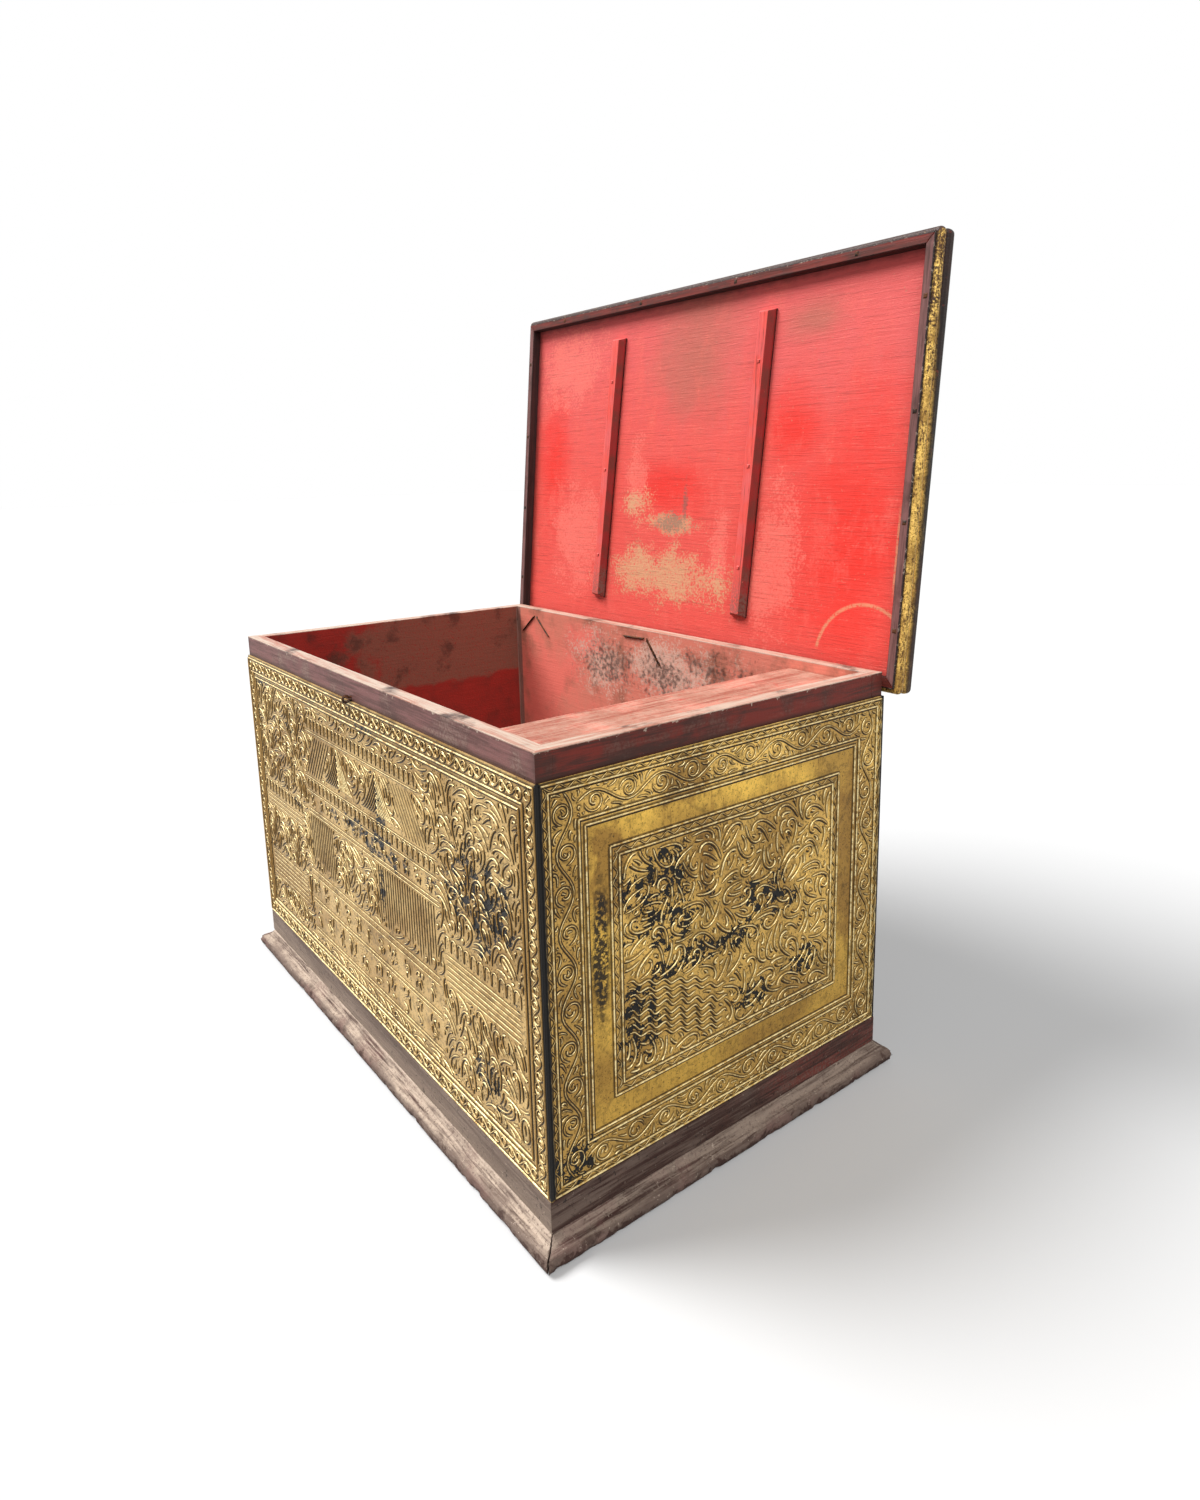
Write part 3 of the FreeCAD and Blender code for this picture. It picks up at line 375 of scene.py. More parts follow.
def make_flake_group():
    """Loss of a finish in flakes: more of it as the amount goes from 0 to 1."""
    tree, given, result = new_group(
        "flakes", {"Vector": "Vector", "Scale": "Float", "Amount": "Float", "Soft": "Float"})
    coarse = tree.noise(given["Vector"], given["Scale"], 3.0, 0.6, 0.6)
    fine = tree.noise(given["Vector"], tree.all(given["Scale"], 4.3), 3.0, 0.6)
    both = tree.plus(tree.all(coarse, 0.66), tree.all(fine, 0.34))
    edge = tree.minus(0.80, tree.all(given["Amount"], 0.55))
    low, high = tree.minus(edge, given["Soft"]), tree.plus(edge, given["Soft"])
    tree.put(result, tree.ramp(both, low, high))


def make_grain_group():
    """Long fibres or brush strokes, along the axis that the stretch makes slow."""
    tree, given, result = new_group("grain", {"Vector": "Vector", "Stretch": "Vector"})
    lain = tree.vector("MULTIPLY", given["Vector"], given["Stretch"])
    broad = tree.noise(lain, 1.0, 3.0, 0.6, 0.5)
    fibre = tree.noise(lain, 4.0, 4.0, 0.65, 0.2)
    tree.put(result, tree.plus(tree.all(broad, 0.5), tree.all(fibre, 0.5)))


EFFECTS = {"patch": make_patch_group, "flakes": make_flake_group, "grain": make_grain_group}


def finished(paint):
    """The material of a finish, made once: paint(tree, colours) gives the shader's values and the bump."""
    if paint.__name__ in bpy.data.materials:
        return bpy.data.materials[paint.__name__]
    material = bpy.data.materials.new(paint.__name__)
    material.use_nodes = True
    tree = Tree(material.node_tree)
    values = paint(tree, bpy.context.scene.chest_colours)
    height, distance = values.pop("Bump")
    shader = tree.add("ShaderNodeBsdfPrincipled", {"Specular IOR Level": DULL_SHINE, **values})
    relief = tree.add("ShaderNodeBump", {"Height": height, "Distance": distance, "Strength": 1.0})
    tree.put(shader.inputs["Normal"], relief.outputs["Normal"])
    output = tree.add("ShaderNodeOutputMaterial", {})
    tree.put(output.inputs["Surface"], shader.outputs["BSDF"])
    return material


def outwards(tree, place):
    """How far a point is outside the walls, and past both of them, and whether it is on a long side."""
    across = tree.vector("ABSOLUTE", place)
    x, y, _ = tree.split(tree.vector("SUBTRACT", across, (WALL_X, WALL_Y, 0)))
    return tree.most(x, y), tree.least(x, y), tree.past(y, x)


def board_grain(tree, place, is_long):
    """Grain along the boards: along X on the long sides, along Y on the ends."""
    along_x = tree.grain(place, (5, 90, 90))
    along_y = tree.grain(place, (90, 5, 90))
    return tree.blend(is_long, along_y, along_x)


def lid_place(tree):
    """Where a point of the lid is when the lid is closed."""
    closing = {"Location": LID_CLOSING.to_translation(), "Rotation": (LID_SWING, 0, 0)}
    return tree.add("ShaderNodeMapping", {"Vector": tree.place(), **closing}).outputs["Vector"]


# Finishes

# Insets of the straight threads from the edge of a relief, over the ridges of its solid
RIDGE_MIDDLE = 0.0009
FRONT_LINES = [inset + RIDGE_MIDDLE for inset in (0.003, 0.025, 0.033)]
END_LINES = [inset + RIDGE_MIDDLE for inset in (0.002, 0.011, 0.048, 0.056, 0.088, 0.100)]
PLAIN_BAND = (0.057, 0.090)
PLAIN_EDGE = 0.003

# How far ragged spots reach into the piece under a face
OUTER_SPOT_DEPTH = 0.1
INNER_SPOT_DEPTH = 0.05


def end_spots(*spots):
    """Spots on the right end as their middles and reaches, each given as y, z and its reach in both."""
    return [((WALL_X, y, z), (OUTER_SPOT_DEPTH, wide, high)) for y, z, wide, high in spots]


def front_spots(*spots):
    """Spots on the front, each given as x, z and its reach in both."""
    return [((x, -WALL_Y, z), (wide, OUTER_SPOT_DEPTH, high)) for x, z, wide, high in spots]


def back_spots(*spots):
    """Spots on the inside of the back, each given as x, z and its reach in both."""
    return [((x, INNER_Y, z), (wide, INNER_SPOT_DEPTH, high)) for x, z, wide, high in spots]


def lid_spots(*spots):
    """Spots on the inside of the closed lid, each given as x, y and its reach in both."""
    return [((x, y, RIM_TOP), (wide, deep, INNER_SPOT_DEPTH)) for x, y, wide, deep in spots]


END_LOSSES = end_spots(
    (-0.115, 0.375, 0.075, 0.085), (-0.045, 0.292, 0.125, 0.026), (0.025, 0.205, 0.038, 0.030),
    (0.115, 0.217, 0.050, 0.022), (-0.150, 0.235, 0.040, 0.075), (0.060, 0.330, 0.060, 0.040),
    (-0.245, 0.100, 0.045, 0.035),
)
FRONT_LOSSES = front_spots(
    (0.025, 0.515, 0.050, 0.012), (-0.385, 0.510, 0.045, 0.010), (0.050, 0.357, 0.190, 0.024),
    (0.330, 0.375, 0.095, 0.075), (0.065, 0.405, 0.020, 0.035), (-0.270, 0.330, 0.030, 0.014),
    (0.060, 0.290, 0.014, 0.040), (0.350, 0.150, 0.050, 0.040), (-0.300, 0.455, 0.060, 0.010),
)
END_SMEAR = end_spots((-0.203, 0.335, 0.015, 0.105), (0.012, 0.4965, 0.014, 0.003))
END_STAINS = end_spots(
    (-0.075, 0.512, 0.045, 0.040), (-0.050, 0.395, 0.020, 0.060), (0.208, 0.340, 0.030, 0.150),
    (-0.190, 0.430, 0.030, 0.070),
)


def near_lines(tree, inset, lines):
    """1 close to any of the lines of a frame."""
    gaps = [tree.size(tree.minus(inset, line)) for line in lines]
    return tree.most(*(tree.ramp(gap, 0.0032, 0.0022) for gap in gaps))


def gilded_finish(tree, colours):
    """Gilding of the relief: bright crowns with a painted highlight towards the light, dark feet of dirt and
    painted shade, dirt, and flakes lost down to the black.
    """
    sizes = bpy.context.scene.chest_sizes
    place = tree.place()
    height, _, is_long = outwards(tree, place)
    above = tree.minus(height, sizes.ground)
    x, y, z = tree.split(place)
    on_end = tree.rest(is_long)
    run = tree.blend(is_long, tree.minus(END_HALF, tree.size(y)),
                     tree.minus(FRONT_HALF, tree.size(x)))
    rise = tree.least(tree.minus(z, RELIEF_LOW), tree.minus(RELIEF_TOP, z))
    inset = tree.least(run, rise)
    start, end = PLAIN_BAND
    plain = tree.all(tree.ramp(inset, start, start + PLAIN_EDGE),
                     tree.ramp(inset, end, end - PLAIN_EDGE), on_end)

    tone = tree.noise(place, 8.0, 5.0, 0.6)
    grit = tree.grit(place, 130.0)
    speck = tree.noise(place, 430.0, 3.0, 0.7)
    streak = tree.grain(place, (110, 110, 9))
    crown = tree.ramp(above, 0.0006, 0.0012)
    worked = tree.rest(plain)
    ground = tree.mix(tree.all(worked, 0.9), colours.gold, colours.pale_gold)
    # Painted sheen: the front's gold is painted paler and duller than the ends', standing in for light
    # reflected off it.
    ground = tree.coat(ground, colours.front_gold_with_sheen, is_long)
    ground = tree.coat(ground, colours.old_gold_and_shade, tree.ramp(tone, 0.42, 0.66), 0.7)
    ground = tree.coat(ground, colours.old_gold_and_shade, tree.ramp(streak, 0.50, 0.66), 0.5, plain)
    ground = tree.coat(ground, colours.old_gold_and_shade, tree.patches(place, END_STAINS), on_end, 0.8)
    # Darker towards the bottom of the ends.
    ground = tree.coat(ground, colours.old_gold_and_shade, tree.ramp(z, 0.46, 0.12), on_end, 0.45)
    normal = tree.facing("True Normal")
    sideways = tree.blend(is_long, normal[1], normal[0])
    # 1 on the faces of threads that look down and away from the light across the face: where shade is
    # painted.
    under = tree.ramp(tree.minus(tree.all(sideways, 0.5), tree.all(normal[2], 0.87)), -0.06, 0.03)
    # Painted highlight: crowns rubbed bright by grit, on the sides that look towards the light.
    rubbed = tree.all(crown, tree.ramp(grit, 0.66, 0.40), tree.rest(under))
    gilt = tree.mix(rubbed, ground, colours.highlight_gold)
    # Painted shade: the crowns' flanks that look away from the light are darkened with old gold.
    gilt = tree.coat(gilt, colours.old_gold_and_shade, crown, under, 0.7)

    flat = tree.rest(crown)
    shaded = tree.all(tree.ramp(y, -0.21, -0.25), on_end)
    gilt = tree.coat(gilt, colours.old_gold_and_shade, shaded, 0.22)
    smoky = tree.all(tree.ramp(tree.noise(place, 42.0, 6.0, 0.72), 0.50, 0.68), 0.40)
    gilt = tree.coat(gilt, colours.grime_and_shade, smoky)
    # Dark feet of the threads: dirt in the hollows on both sides, made near black as painted shade on the
    # side that looks away from the light.
    foot = tree.all(tree.ramp(above, 0.000005, 0.00003), tree.ramp(above, 0.0011, 0.0006),
                    tree.blend(under, tree.blend(shaded, 0.70, 0.93), 0.995))
    beside = tree.blend(is_long, near_lines(tree, inset, END_LINES), near_lines(tree, inset, FRONT_LINES))
    dirt = tree.all(tree.ramp(grit, 0.50, 0.66), flat, tree.blend(plain, 0.5, 0.4))
    specks = tree.all(tree.ramp(speck, 0.57, 0.66), 0.75)
    sooty = tree.ramp(tree.noise(place, 220.0), 0.36, 0.52)
    smear = tree.all(tree.patches(place, END_SMEAR, 0.5), sooty, on_end, 0.95)
    edge = tree.plus(run, tree.blend(is_long, tree.all(tree.noise(place, 60.0), 0.004), 0.003))
    edge = tree.ramp(edge, 0.0066, 0.0046)
    edge = tree.all(edge, tree.ramp(z, RELIEF_LOW, RELIEF_LOW + 0.002))
    lining = tree.all(beside, flat, tree.ramp(grit, 0.30, 0.50), 0.9)
    gilt = tree.coat(gilt, colours.grime_and_shade, tree.most(foot, dirt, specks, lining))

    worn = tree.most(tree.all(tree.patches(place, END_LOSSES), on_end),
                     tree.all(tree.patches(place, FRONT_LOSSES), is_long))
    amount = tree.plus(tree.blend(worked, 0.12, 0.27), tree.all(worn, 0.28))
    amount = tree.minus(amount, tree.all(crown, 0.14))
    loss = tree.flakes(place, 80.0, amount, 0.012)
    dark = tree.most(loss, edge, smear)
    return {
        "Base Color": tree.mix(dark, gilt, colours.black),
        "Metallic": tree.all(tree.rest(tree.most(dark, foot, dirt)), 0.35),
        "Roughness": tree.blend(dark, 0.40, 0.36),
        "Bump": (tree.plus(tree.all(speck, 0.4), grit), 0.0006),
    }


# Spots of the inside of the back, and the height of the tide line at the left end
BACK_RED = back_spots((-0.33, 0.44, 0.13, 0.12), (-0.22, 0.54, 0.09, 0.04))
BACK_BLOOM = back_spots((-0.14, 0.51, 0.10, 0.07), (0.05, 0.52, 0.19, 0.06))
BACK_SPOTS = back_spots(
    (-0.12, 0.505, 0.10, 0.055), (0.02, 0.500, 0.10, 0.05), (0.16, 0.535, 0.10, 0.035),
)
TIDE_LINE = 0.446


def inner_paint(tree, colours, place, mottle, fine):
    """Red lacquer of the inside: dusty above an old tide line at the left end, mouldy on the back, and
    darkened by half with painted shade everywhere but on the back.
    """
    x, y, z = tree.split(place)
    red = tree.mix(tree.all(tree.ramp(mottle, 0.40, 0.70), 0.6), colours.vermilion, colours.rim)
    above = tree.ramp(tree.plus(z, tree.sway(mottle, 0.05)), TIDE_LINE - 0.004, TIDE_LINE + 0.006)
    dusty = tree.all(above, tree.ramp(tree.plus(y, tree.sway(mottle, 0.35)), -0.12, -0.05))
    ends = tree.mix(tree.all(dusty, tree.ramp(fine, 0.22, 0.50)), red, colours.dusty_red)
    ends = tree.coat(ends, colours.umber, above, tree.ramp(mottle, 0.54, 0.66), 0.6)
    # Painted shade: every inside face but the back is darkened by half with umber.
    ends = tree.mix(0.50, ends, colours.umber)
    back = tree.mix(tree.ramp(mottle, 0.44, 0.66), colours.faded_red, colours.dusty_red)
    back = tree.coat(back, colours.pink, tree.patches(place, BACK_RED, 1.2, 14.0, 0.2), 0.8)
    bloom = tree.patches(place, BACK_BLOOM, 1.0, 18.0, 0.6)
    back = tree.coat(back, colours.mould, speckled(tree, bloom, fine))
    spots = tree.all(tree.patches(place, BACK_SPOTS, 1.1, 26.0, 0.5), 0.75)
    spots = speckled(tree, spots, tree.noise(place, 130.0, 5.0, 0.7))
    back = tree.coat(back, colours.umber, spots, 0.80)
    seam = tree.ramp(tree.plus(x, tree.all(fine, 0.004)), -INNER_X + 0.016, -INNER_X + 0.012)
    back = tree.coat(back, colours.plinth, seam, 0.8)
    return tree.mix(tree.past(y, INNER_Y - 0.003), ends, back)


def wall_finish(tree, colours):
    """Lacquer of the walls: red-brown outside, red inside, bare wood on the rim's top."""
    place = tree.place()
    z = tree.split(place)[2]
    height, corner, is_long = outwards(tree, place)
    grain = board_grain(tree, place, is_long)
    mottle = tree.mottling(place, 16.0, 6.0)
    fine = tree.grit(place, 260.0)

    outer = tree.mix(is_long, colours.rim, colours.mauve)
    outer = tree.coat(outer, colours.umber, tree.ramp(grain, 0.44, 0.62), tree.blend(is_long, 0.85, 0.6))
    outer = tree.coat(outer, colours.umber, tree.ramp(mottle, 0.46, 0.60), tree.blend(is_long, 0.6, 0.35))
    dusty = tree.all(tree.ramp(tree.plus(mottle, tree.minus(0.5, grain)), 0.50, 0.75),
                     tree.ramp(fine, 0.35, 0.60), tree.blend(is_long, 0.10, 0.30))
    outer = tree.coat(outer, colours.dust, dusty)
    shade = tree.most(tree.ramp(z, RELIEF_TOP + 0.009, RELIEF_TOP + 0.001),
                      tree.ramp(tree.plus(corner, tree.all(mottle, 0.05)), 0.0, 0.035))
    outer = tree.coat(outer, colours.umber, shade, 0.8)
    near_top = tree.ramp(z, RIM_TOP - 0.010, RIM_TOP)
    amount = tree.blend(near_top, 0.12, 0.40)
    chips = tree.flakes(place, 90.0, amount, 0.03)
    outer = tree.coat(outer, colours.pale_wood, chips, 0.8)

    outside = tree.past(height, -0.0005)
    paint = tree.mix(outside, inner_paint(tree, colours, place, mottle, fine), outer)
    top = tree.ramp(tree.plus(z, tree.all(fine, 0.0012)), RIM_TOP - 0.0010, RIM_TOP + 0.0002)
    bare = tree.mix(tree.ramp(grain, 0.42, 0.66), colours.pale_wood, colours.dusty_red)
    bare = tree.coat(bare, colours.umber, tree.ramp(mottle, 0.52, 0.72))
    return {
        "Base Color": tree.mix(top, paint, bare),
        "Roughness": tree.blend(outside, 0.46, 0.52),
        "Bump": (tree.plus(tree.all(grain, 0.8), tree.all(fine, 0.3)), 0.0012),
    }


def band_finish(tree, colours):
    """Dusty red-brown lacquer of the base bands."""
    place = tree.place()
    _, y, z = tree.split(place)
    _, _, is_long = outwards(tree, place)
    grain = board_grain(tree, place, is_long)
    mottle = tree.mottling(place, 13.0)
    fine = tree.grit(place, 260.0)
    red = tree.ramp(tree.plus(y, mottle), 0.40, 0.75)
    paint = tree.mix(tree.all(red, tree.ramp(fine, 0.30, 0.55), 0.8), colours.plinth, colours.rim)
    paint = tree.coat(paint, colours.umber, tree.ramp(grain, 0.36, 0.58))
    settled = tree.ramp(tree.plus(z, tree.all(mottle, 0.03)), 0.085, 0.045)
    paint = tree.coat(paint, colours.dust, is_long, tree.blend(settled, 0.16, 0.40))
    worn = tree.flakes(place, 130.0, 0.26, 0.04)
    paint = tree.coat(paint, colours.dust, worn, 0.6)
    pits = tree.flakes(place, 170.0, 0.34, 0.04)
    paint = tree.coat(paint, colours.black, pits, 0.8)
    return {"Base Color": paint, "Roughness": 0.60, "Bump": (tree.plus(grain, tree.all(fine, 0.4)), 0.0018)}


def plinth_finish(tree, colours):
    """Worn lacquer of the plinth, with dust where it can lie, painted shade on the lower part of the nose,
    and chips along the foot.
    """
    place = tree.place()
    z = tree.split(place)[2]
    _, _, is_long = outwards(tree, place)
    grain = board_grain(tree, place, is_long)
    mottle = tree.mottling(place, 18.0)
    fine = tree.grit(place, 300.0)
    paint = tree.mix(tree.ramp(grain, 0.42, 0.62), colours.plinth, colours.umber)
    blush = tree.noise(place, 11.0, 4.0, 0.6)
    paint = tree.coat(paint, colours.mauve, tree.ramp(blush, 0.50, 0.62), 0.30)
    lying = tree.ramp(tree.plus(tree.facing()[2], tree.sway(mottle, 1.4)), 0.10, 0.80)
    lying = tree.all(lying, tree.ramp(grain, 0.66, 0.44), tree.ramp(fine, 0.26, 0.50))
    paint = tree.coat(paint, colours.dust, lying, tree.blend(is_long, 0.42, 0.95))
    # Painted shade: below about 2 cm the nose is darker and free of dust, to show it rounding under; scuffs
    # lie on it.
    level = tree.plus(z, tree.sway(mottle, 0.022))
    nose = tree.ramp(level, 0.0225, 0.0165)
    nose_shade_and_scuffs = tree.mix(tree.all(tree.ramp(blush, 0.50, 0.58), 0.25), colours.plinth, colours.mauve)
    scuffs = tree.ramp(tree.grit(place, 40.0), 0.54, 0.64)
    nose_shade_and_scuffs = tree.coat(nose_shade_and_scuffs, colours.umber, scuffs)
    paint = tree.coat(paint, nose_shade_and_scuffs, nose, 0.72)
    scars = tree.flakes(place, 130.0, 0.30, 0.04)
    paint = tree.coat(paint, colours.pale_wood, scars, 0.7)
    low = tree.ramp(z, 0.019, 0.004)
    chips = tree.flakes(place, 48.0, tree.blend(low, 0.22, 0.62), 0.06)
    paint = tree.coat(paint, colours.umber, chips, 0.88)
    return {"Base Color": paint, "Roughness": 0.75,
            "Bump": (tree.plus(grain, tree.all(fine, 0.6)), 0.0022)}


# Spots of the lid's inside, where they are when the lid is closed
LID_TAN = lid_spots(
    (-0.130, 0.055, 0.055, 0.030), (-0.030, 0.090, 0.095, 0.022), (-0.030, 0.180, 0.185, 0.062),
)
LID_GREY = lid_spots((-0.015, 0.088, 0.055, 0.022), (0.012, 0.060, 0.008, 0.045))
LID_FADED = lid_spots(
    (0.215, 0.145, 0.075, 0.150), (-0.125, 0.010, 0.035, 0.080), (0.100, 0.130, 0.030, 0.080),
    (-0.300, 0.130, 0.100, 0.130), (-0.350, -0.200, 0.130, 0.090),
)
LID_SCARLET = lid_spots(
    (0.365, 0.090, 0.110, 0.200), (-0.390, 0.000, 0.050, 0.140), (-0.030, 0.030, 0.090, 0.050),
    (0.250, -0.060, 0.070, 0.060),
)
LID_SHADE = lid_spots((0.020, -0.185, 0.110, 0.110), (0.270, -0.215, 0.060, 0.030))
SCRAPE_X = RAIL_INNER_X - 0.013
ARC_MIDDLE = (0.405, 0.272, RIM_TOP)
ARC_RADIUS = 0.085


def worn_gold(tree, place, colours):
    """Gilding rubbed to brown in streaks and grains, darker towards the front edge of the lid."""
    _, y, _ = tree.split(place)
    mottle = tree.noise(place, 30.0, 5.0, 0.65)
    streak = tree.grain(place, (260, 26, 260))
    grains = tree.noise(place, 300.0, 5.0, 0.75)
    front = tree.ramp(tree.plus(y, tree.sway(mottle, 0.3)), -0.06, -0.24)
    paint = tree.mix(tree.ramp(grains, 0.40, 0.60), colours.pale_gold, colours.leaf_gold)
    paint = tree.coat(paint, colours.old_gold_and_shade, tree.ramp(mottle, 0.44, 0.62), 0.75)
    rubbed = tree.plus(tree.all(streak, 0.55), tree.all(grains, 0.45))
    paint = tree.coat(paint, colours.old_gold_and_shade, tree.ramp(rubbed, 0.46, 0.56), 0.8)
    bare = tree.ramp(rubbed, tree.blend(front, 0.50, 0.44), tree.blend(front, 0.58, 0.53))
    paint = tree.coat(paint, colours.umber, bare, 0.9)
    return paint, front


def lid_finish(tree, colours):
    """Brushed red lacquer inside the lid and a dark shell outside, with gold lapped over its ends."""
    place = lid_place(tree)
    x, y, z = tree.split(place)
    brush = tree.grain(place, (10, 290, 10))
    haze = tree.grain(place, (11, 5, 5))
    fine = tree.grit(place, 240.0)
    fall = tree.ramp(tree.plus(y, tree.sway(haze, 0.5)), -0.26, 0.06)
    paint = tree.mix(fall, colours.rose, colours.coral)
    paint = tree.coat(paint, colours.scarlet, tree.patches(place, LID_SCARLET, 1.0, 7.0, 0.5), 0.9)
    shade = tree.all(tree.patches(place, LID_SHADE, 0.9, 9.0, 0.5), 0.62)
    paint = tree.coat(paint, colours.dusty_red, shade)
    veil = tree.all(tree.ramp(haze, 0.50, 0.66), tree.ramp(fine, 0.25, 0.60), 0.30)
    paint = tree.coat(paint, colours.pink, veil)
    faded = speckled(tree, tree.patches(place, LID_FADED, 1.2, 14.0, 0.30), fine)
    paint = tree.coat(paint, colours.pink, faded, 0.65)
    tan = speckled(tree, tree.patches(place, LID_TAN, 1.1, 15.0, 0.45), fine)
    paint = tree.coat(paint, colours.tan, tan, 0.92)
    grey = speckled(tree, tree.patches(place, LID_GREY, 0.9, 26.0, 0.45), fine)
    paint = tree.coat(paint, colours.plinth, grey, 0.6)
    lines = tree.all(tree.ramp(brush, 0.50, 0.68), 0.38)
    paint = tree.coat(paint, colours.rim, lines)
    light = tree.all(tree.ramp(brush, 0.44, 0.36), tree.ramp(fine, 0.40, 0.60), 0.55)
    paint = tree.coat(paint, colours.pink, light)
    chalk = tree.flakes(place, 60.0, 0.17, 0.03)
    paint = tree.coat(paint, colours.tan, chalk, 0.5)
    from_middle = tree.vector("LENGTH", tree.vector("SUBTRACT", place, ARC_MIDDLE))
    ring = tree.minus(from_middle, ARC_RADIUS)
    ring = tree.all(tree.ramp(tree.size(ring), 0.004, 0.001), tree.ramp(fine, 0.34, 0.50),
                    tree.ramp(y, 0.262, 0.252))
    scrape = tree.ramp(tree.size(tree.minus(x, SCRAPE_X)), 0.0030, 0.0010)
    scrape = tree.all(scrape, tree.ramp(fine, 0.34, 0.50),
                      tree.ramp(y, 0.03, 0.09), tree.ramp(y, 0.18, 0.15))
    paint = tree.coat(paint, colours.tan, tree.most(ring, scrape), 0.6)
    away = tree.least(tree.minus(RAIL_INNER_Y, tree.size(y)), tree.minus(RAIL_INNER_X, tree.size(x)))
    rim = tree.ramp(tree.plus(away, tree.all(tree.noise(place, 40.0), 0.012)), 0.016, 0.004)
    paint = tree.coat(paint, colours.umber, rim, 0.55)

    outer = tree.noise(place, 7.0, 6.0, 0.66)
    rubbed = tree.flakes(place, 40.0, 0.26, 0.05)
    shell = tree.mix(tree.all(tree.ramp(outer, 0.42, 0.66), 0.75), colours.black, colours.umber)
    shell = tree.coat(shell, colours.rim, rubbed, 0.8)
    gold, front = worn_gold(tree, place, colours)
    ragged = tree.plus(z, tree.all(tree.noise(place, 120.0), 0.005))
    ragged = tree.minus(ragged, tree.blend(front, 0.009, 0.0))
    lapped = tree.ramp(ragged, RIM_TOP + 0.004, RIM_TOP + 0.002)
    across = tree.plus(tree.size(x), tree.all(tree.noise(place, 120.0), 0.002))
    lapped = tree.all(lapped, tree.ramp(across, RAIL_OUTER_X, RAIL_OUTER_X + 0.002),
                      tree.ramp(across, tree.blend(front, LID_EDGE_X + 0.0016, LID_EDGE_X - 0.0020),
                                tree.blend(front, LID_EDGE_X - 0.0030, LID_EDGE_X - 0.0055)))
    shell = tree.coat(shell, gold, lapped)
    outside = tree.past(z, RIM_TOP + 0.0009)
    return {
        "Base Color": tree.mix(outside, paint, shell),
        "Roughness": tree.blend(outside, 0.50, tree.blend(tree.ramp(outer, 0.40, 0.60), 0.30, 0.46)),
        "Bump": (tree.plus(tree.all(brush, 0.9), tree.all(fine, 0.25)), 0.0011),
    }


def batten_finish(tree, colours):
    """Red lacquer of the battens, darker on the flanks that look to the right as painted shade, with a
    painted shadow along the foot of those flanks.
    """
    place = lid_place(tree)
    _, y, z = tree.split(place)
    brush = tree.grain(place, (160, 6, 160))
    mottle = tree.mottling(place, 26.0)
    fine = tree.grit(place, 240.0)
    # Painted shade: flanks that look to the right, away from the main light, get the darker crimson.
    flank = tree.ramp(tree.facing()[0], 0.15, 0.5)
    top = tree.mix(tree.ramp(mottle, 0.36, 0.60), colours.rose, colours.coral)
    top = tree.coat(top, colours.pink, tree.ramp(brush, 0.48, 0.36), 0.45)
    side = tree.mix(tree.ramp(mottle, 0.40, 0.62), colours.crimson_shade, colours.rim)
    paint = tree.mix(flank, top, side)
    paint = tree.coat(paint, colours.rim, tree.ramp(brush, 0.54, 0.66), 0.7)
    by_hinge = tree.ramp(tree.plus(y, tree.all(mottle, 0.12)), 0.20, 0.29)
    dirt = tree.all(by_hinge, tree.ramp(fine, 0.36, 0.56))
    paint = tree.coat(paint, colours.plinth, dirt, 0.6)
    # Painted shadow: a ragged black line along the foot of the flanks that look to the right.
    uneven = tree.plus(z, tree.all(tree.noise(place, 150.0), 0.004))
    gap = tree.ramp(uneven, RIM_TOP - 0.0015, RIM_TOP + 0.0005)
    paint = tree.coat(paint, colours.black, gap, flank)
    rubbed = tree.flakes(place, 90.0, 0.20, 0.04)
    paint = tree.coat(paint, colours.pink, rubbed, 0.6)
    return {"Base Color": paint, "Roughness": 0.42, "Bump": (brush, 0.0012)}


def rail_finish(tree, colours):
    """Dark lacquer of the lid's rails, with black lines along their edges."""
    place = lid_place(tree)
    _, _, is_long = outwards(tree, place)
    x, y, _ = tree.split(tree.vector("ABSOLUTE", place))
    grain = board_grain(tree, place, is_long)
    mottle = tree.mottling(place, 20.0)
    fine = tree.grit(place, 260.0)
    base = tree.mix(is_long, colours.mauve, colours.rim)
    paint = tree.mix(tree.all(tree.ramp(grain, 0.42, 0.62), 0.75), base, colours.umber)
    paint = tree.coat(paint, colours.umber, tree.ramp(mottle, 0.50, 0.68), 0.6)
    inwards = tree.most(tree.minus(x, RAIL_INNER_X), tree.minus(y, RAIL_INNER_Y))
    paint = tree.coat(paint, colours.black, tree.ramp(inwards, 0.0016, 0.0004), 0.8)
    out = tree.most(tree.minus(x, RAIL_OUTER_X), tree.minus(y, RAIL_OUTER_Y))
    line = tree.ramp(tree.plus(out, tree.all(tree.noise(place, 90.0), 0.002)), -0.0010, -0.0002)
    paint = tree.coat(paint, colours.black, line, 0.9)
    amount = tree.blend(tree.ramp(out, -0.005, -0.001), 0.16, 0.44)
    chips = tree.flakes(place, 120.0, amount, 0.03)
    paint = tree.coat(paint, colours.dust, chips, tree.ramp(fine, 0.40, 0.56), 0.5)
    return {"Base Color": paint, "Roughness": 0.55, "Bump": (grain, 0.0012)}


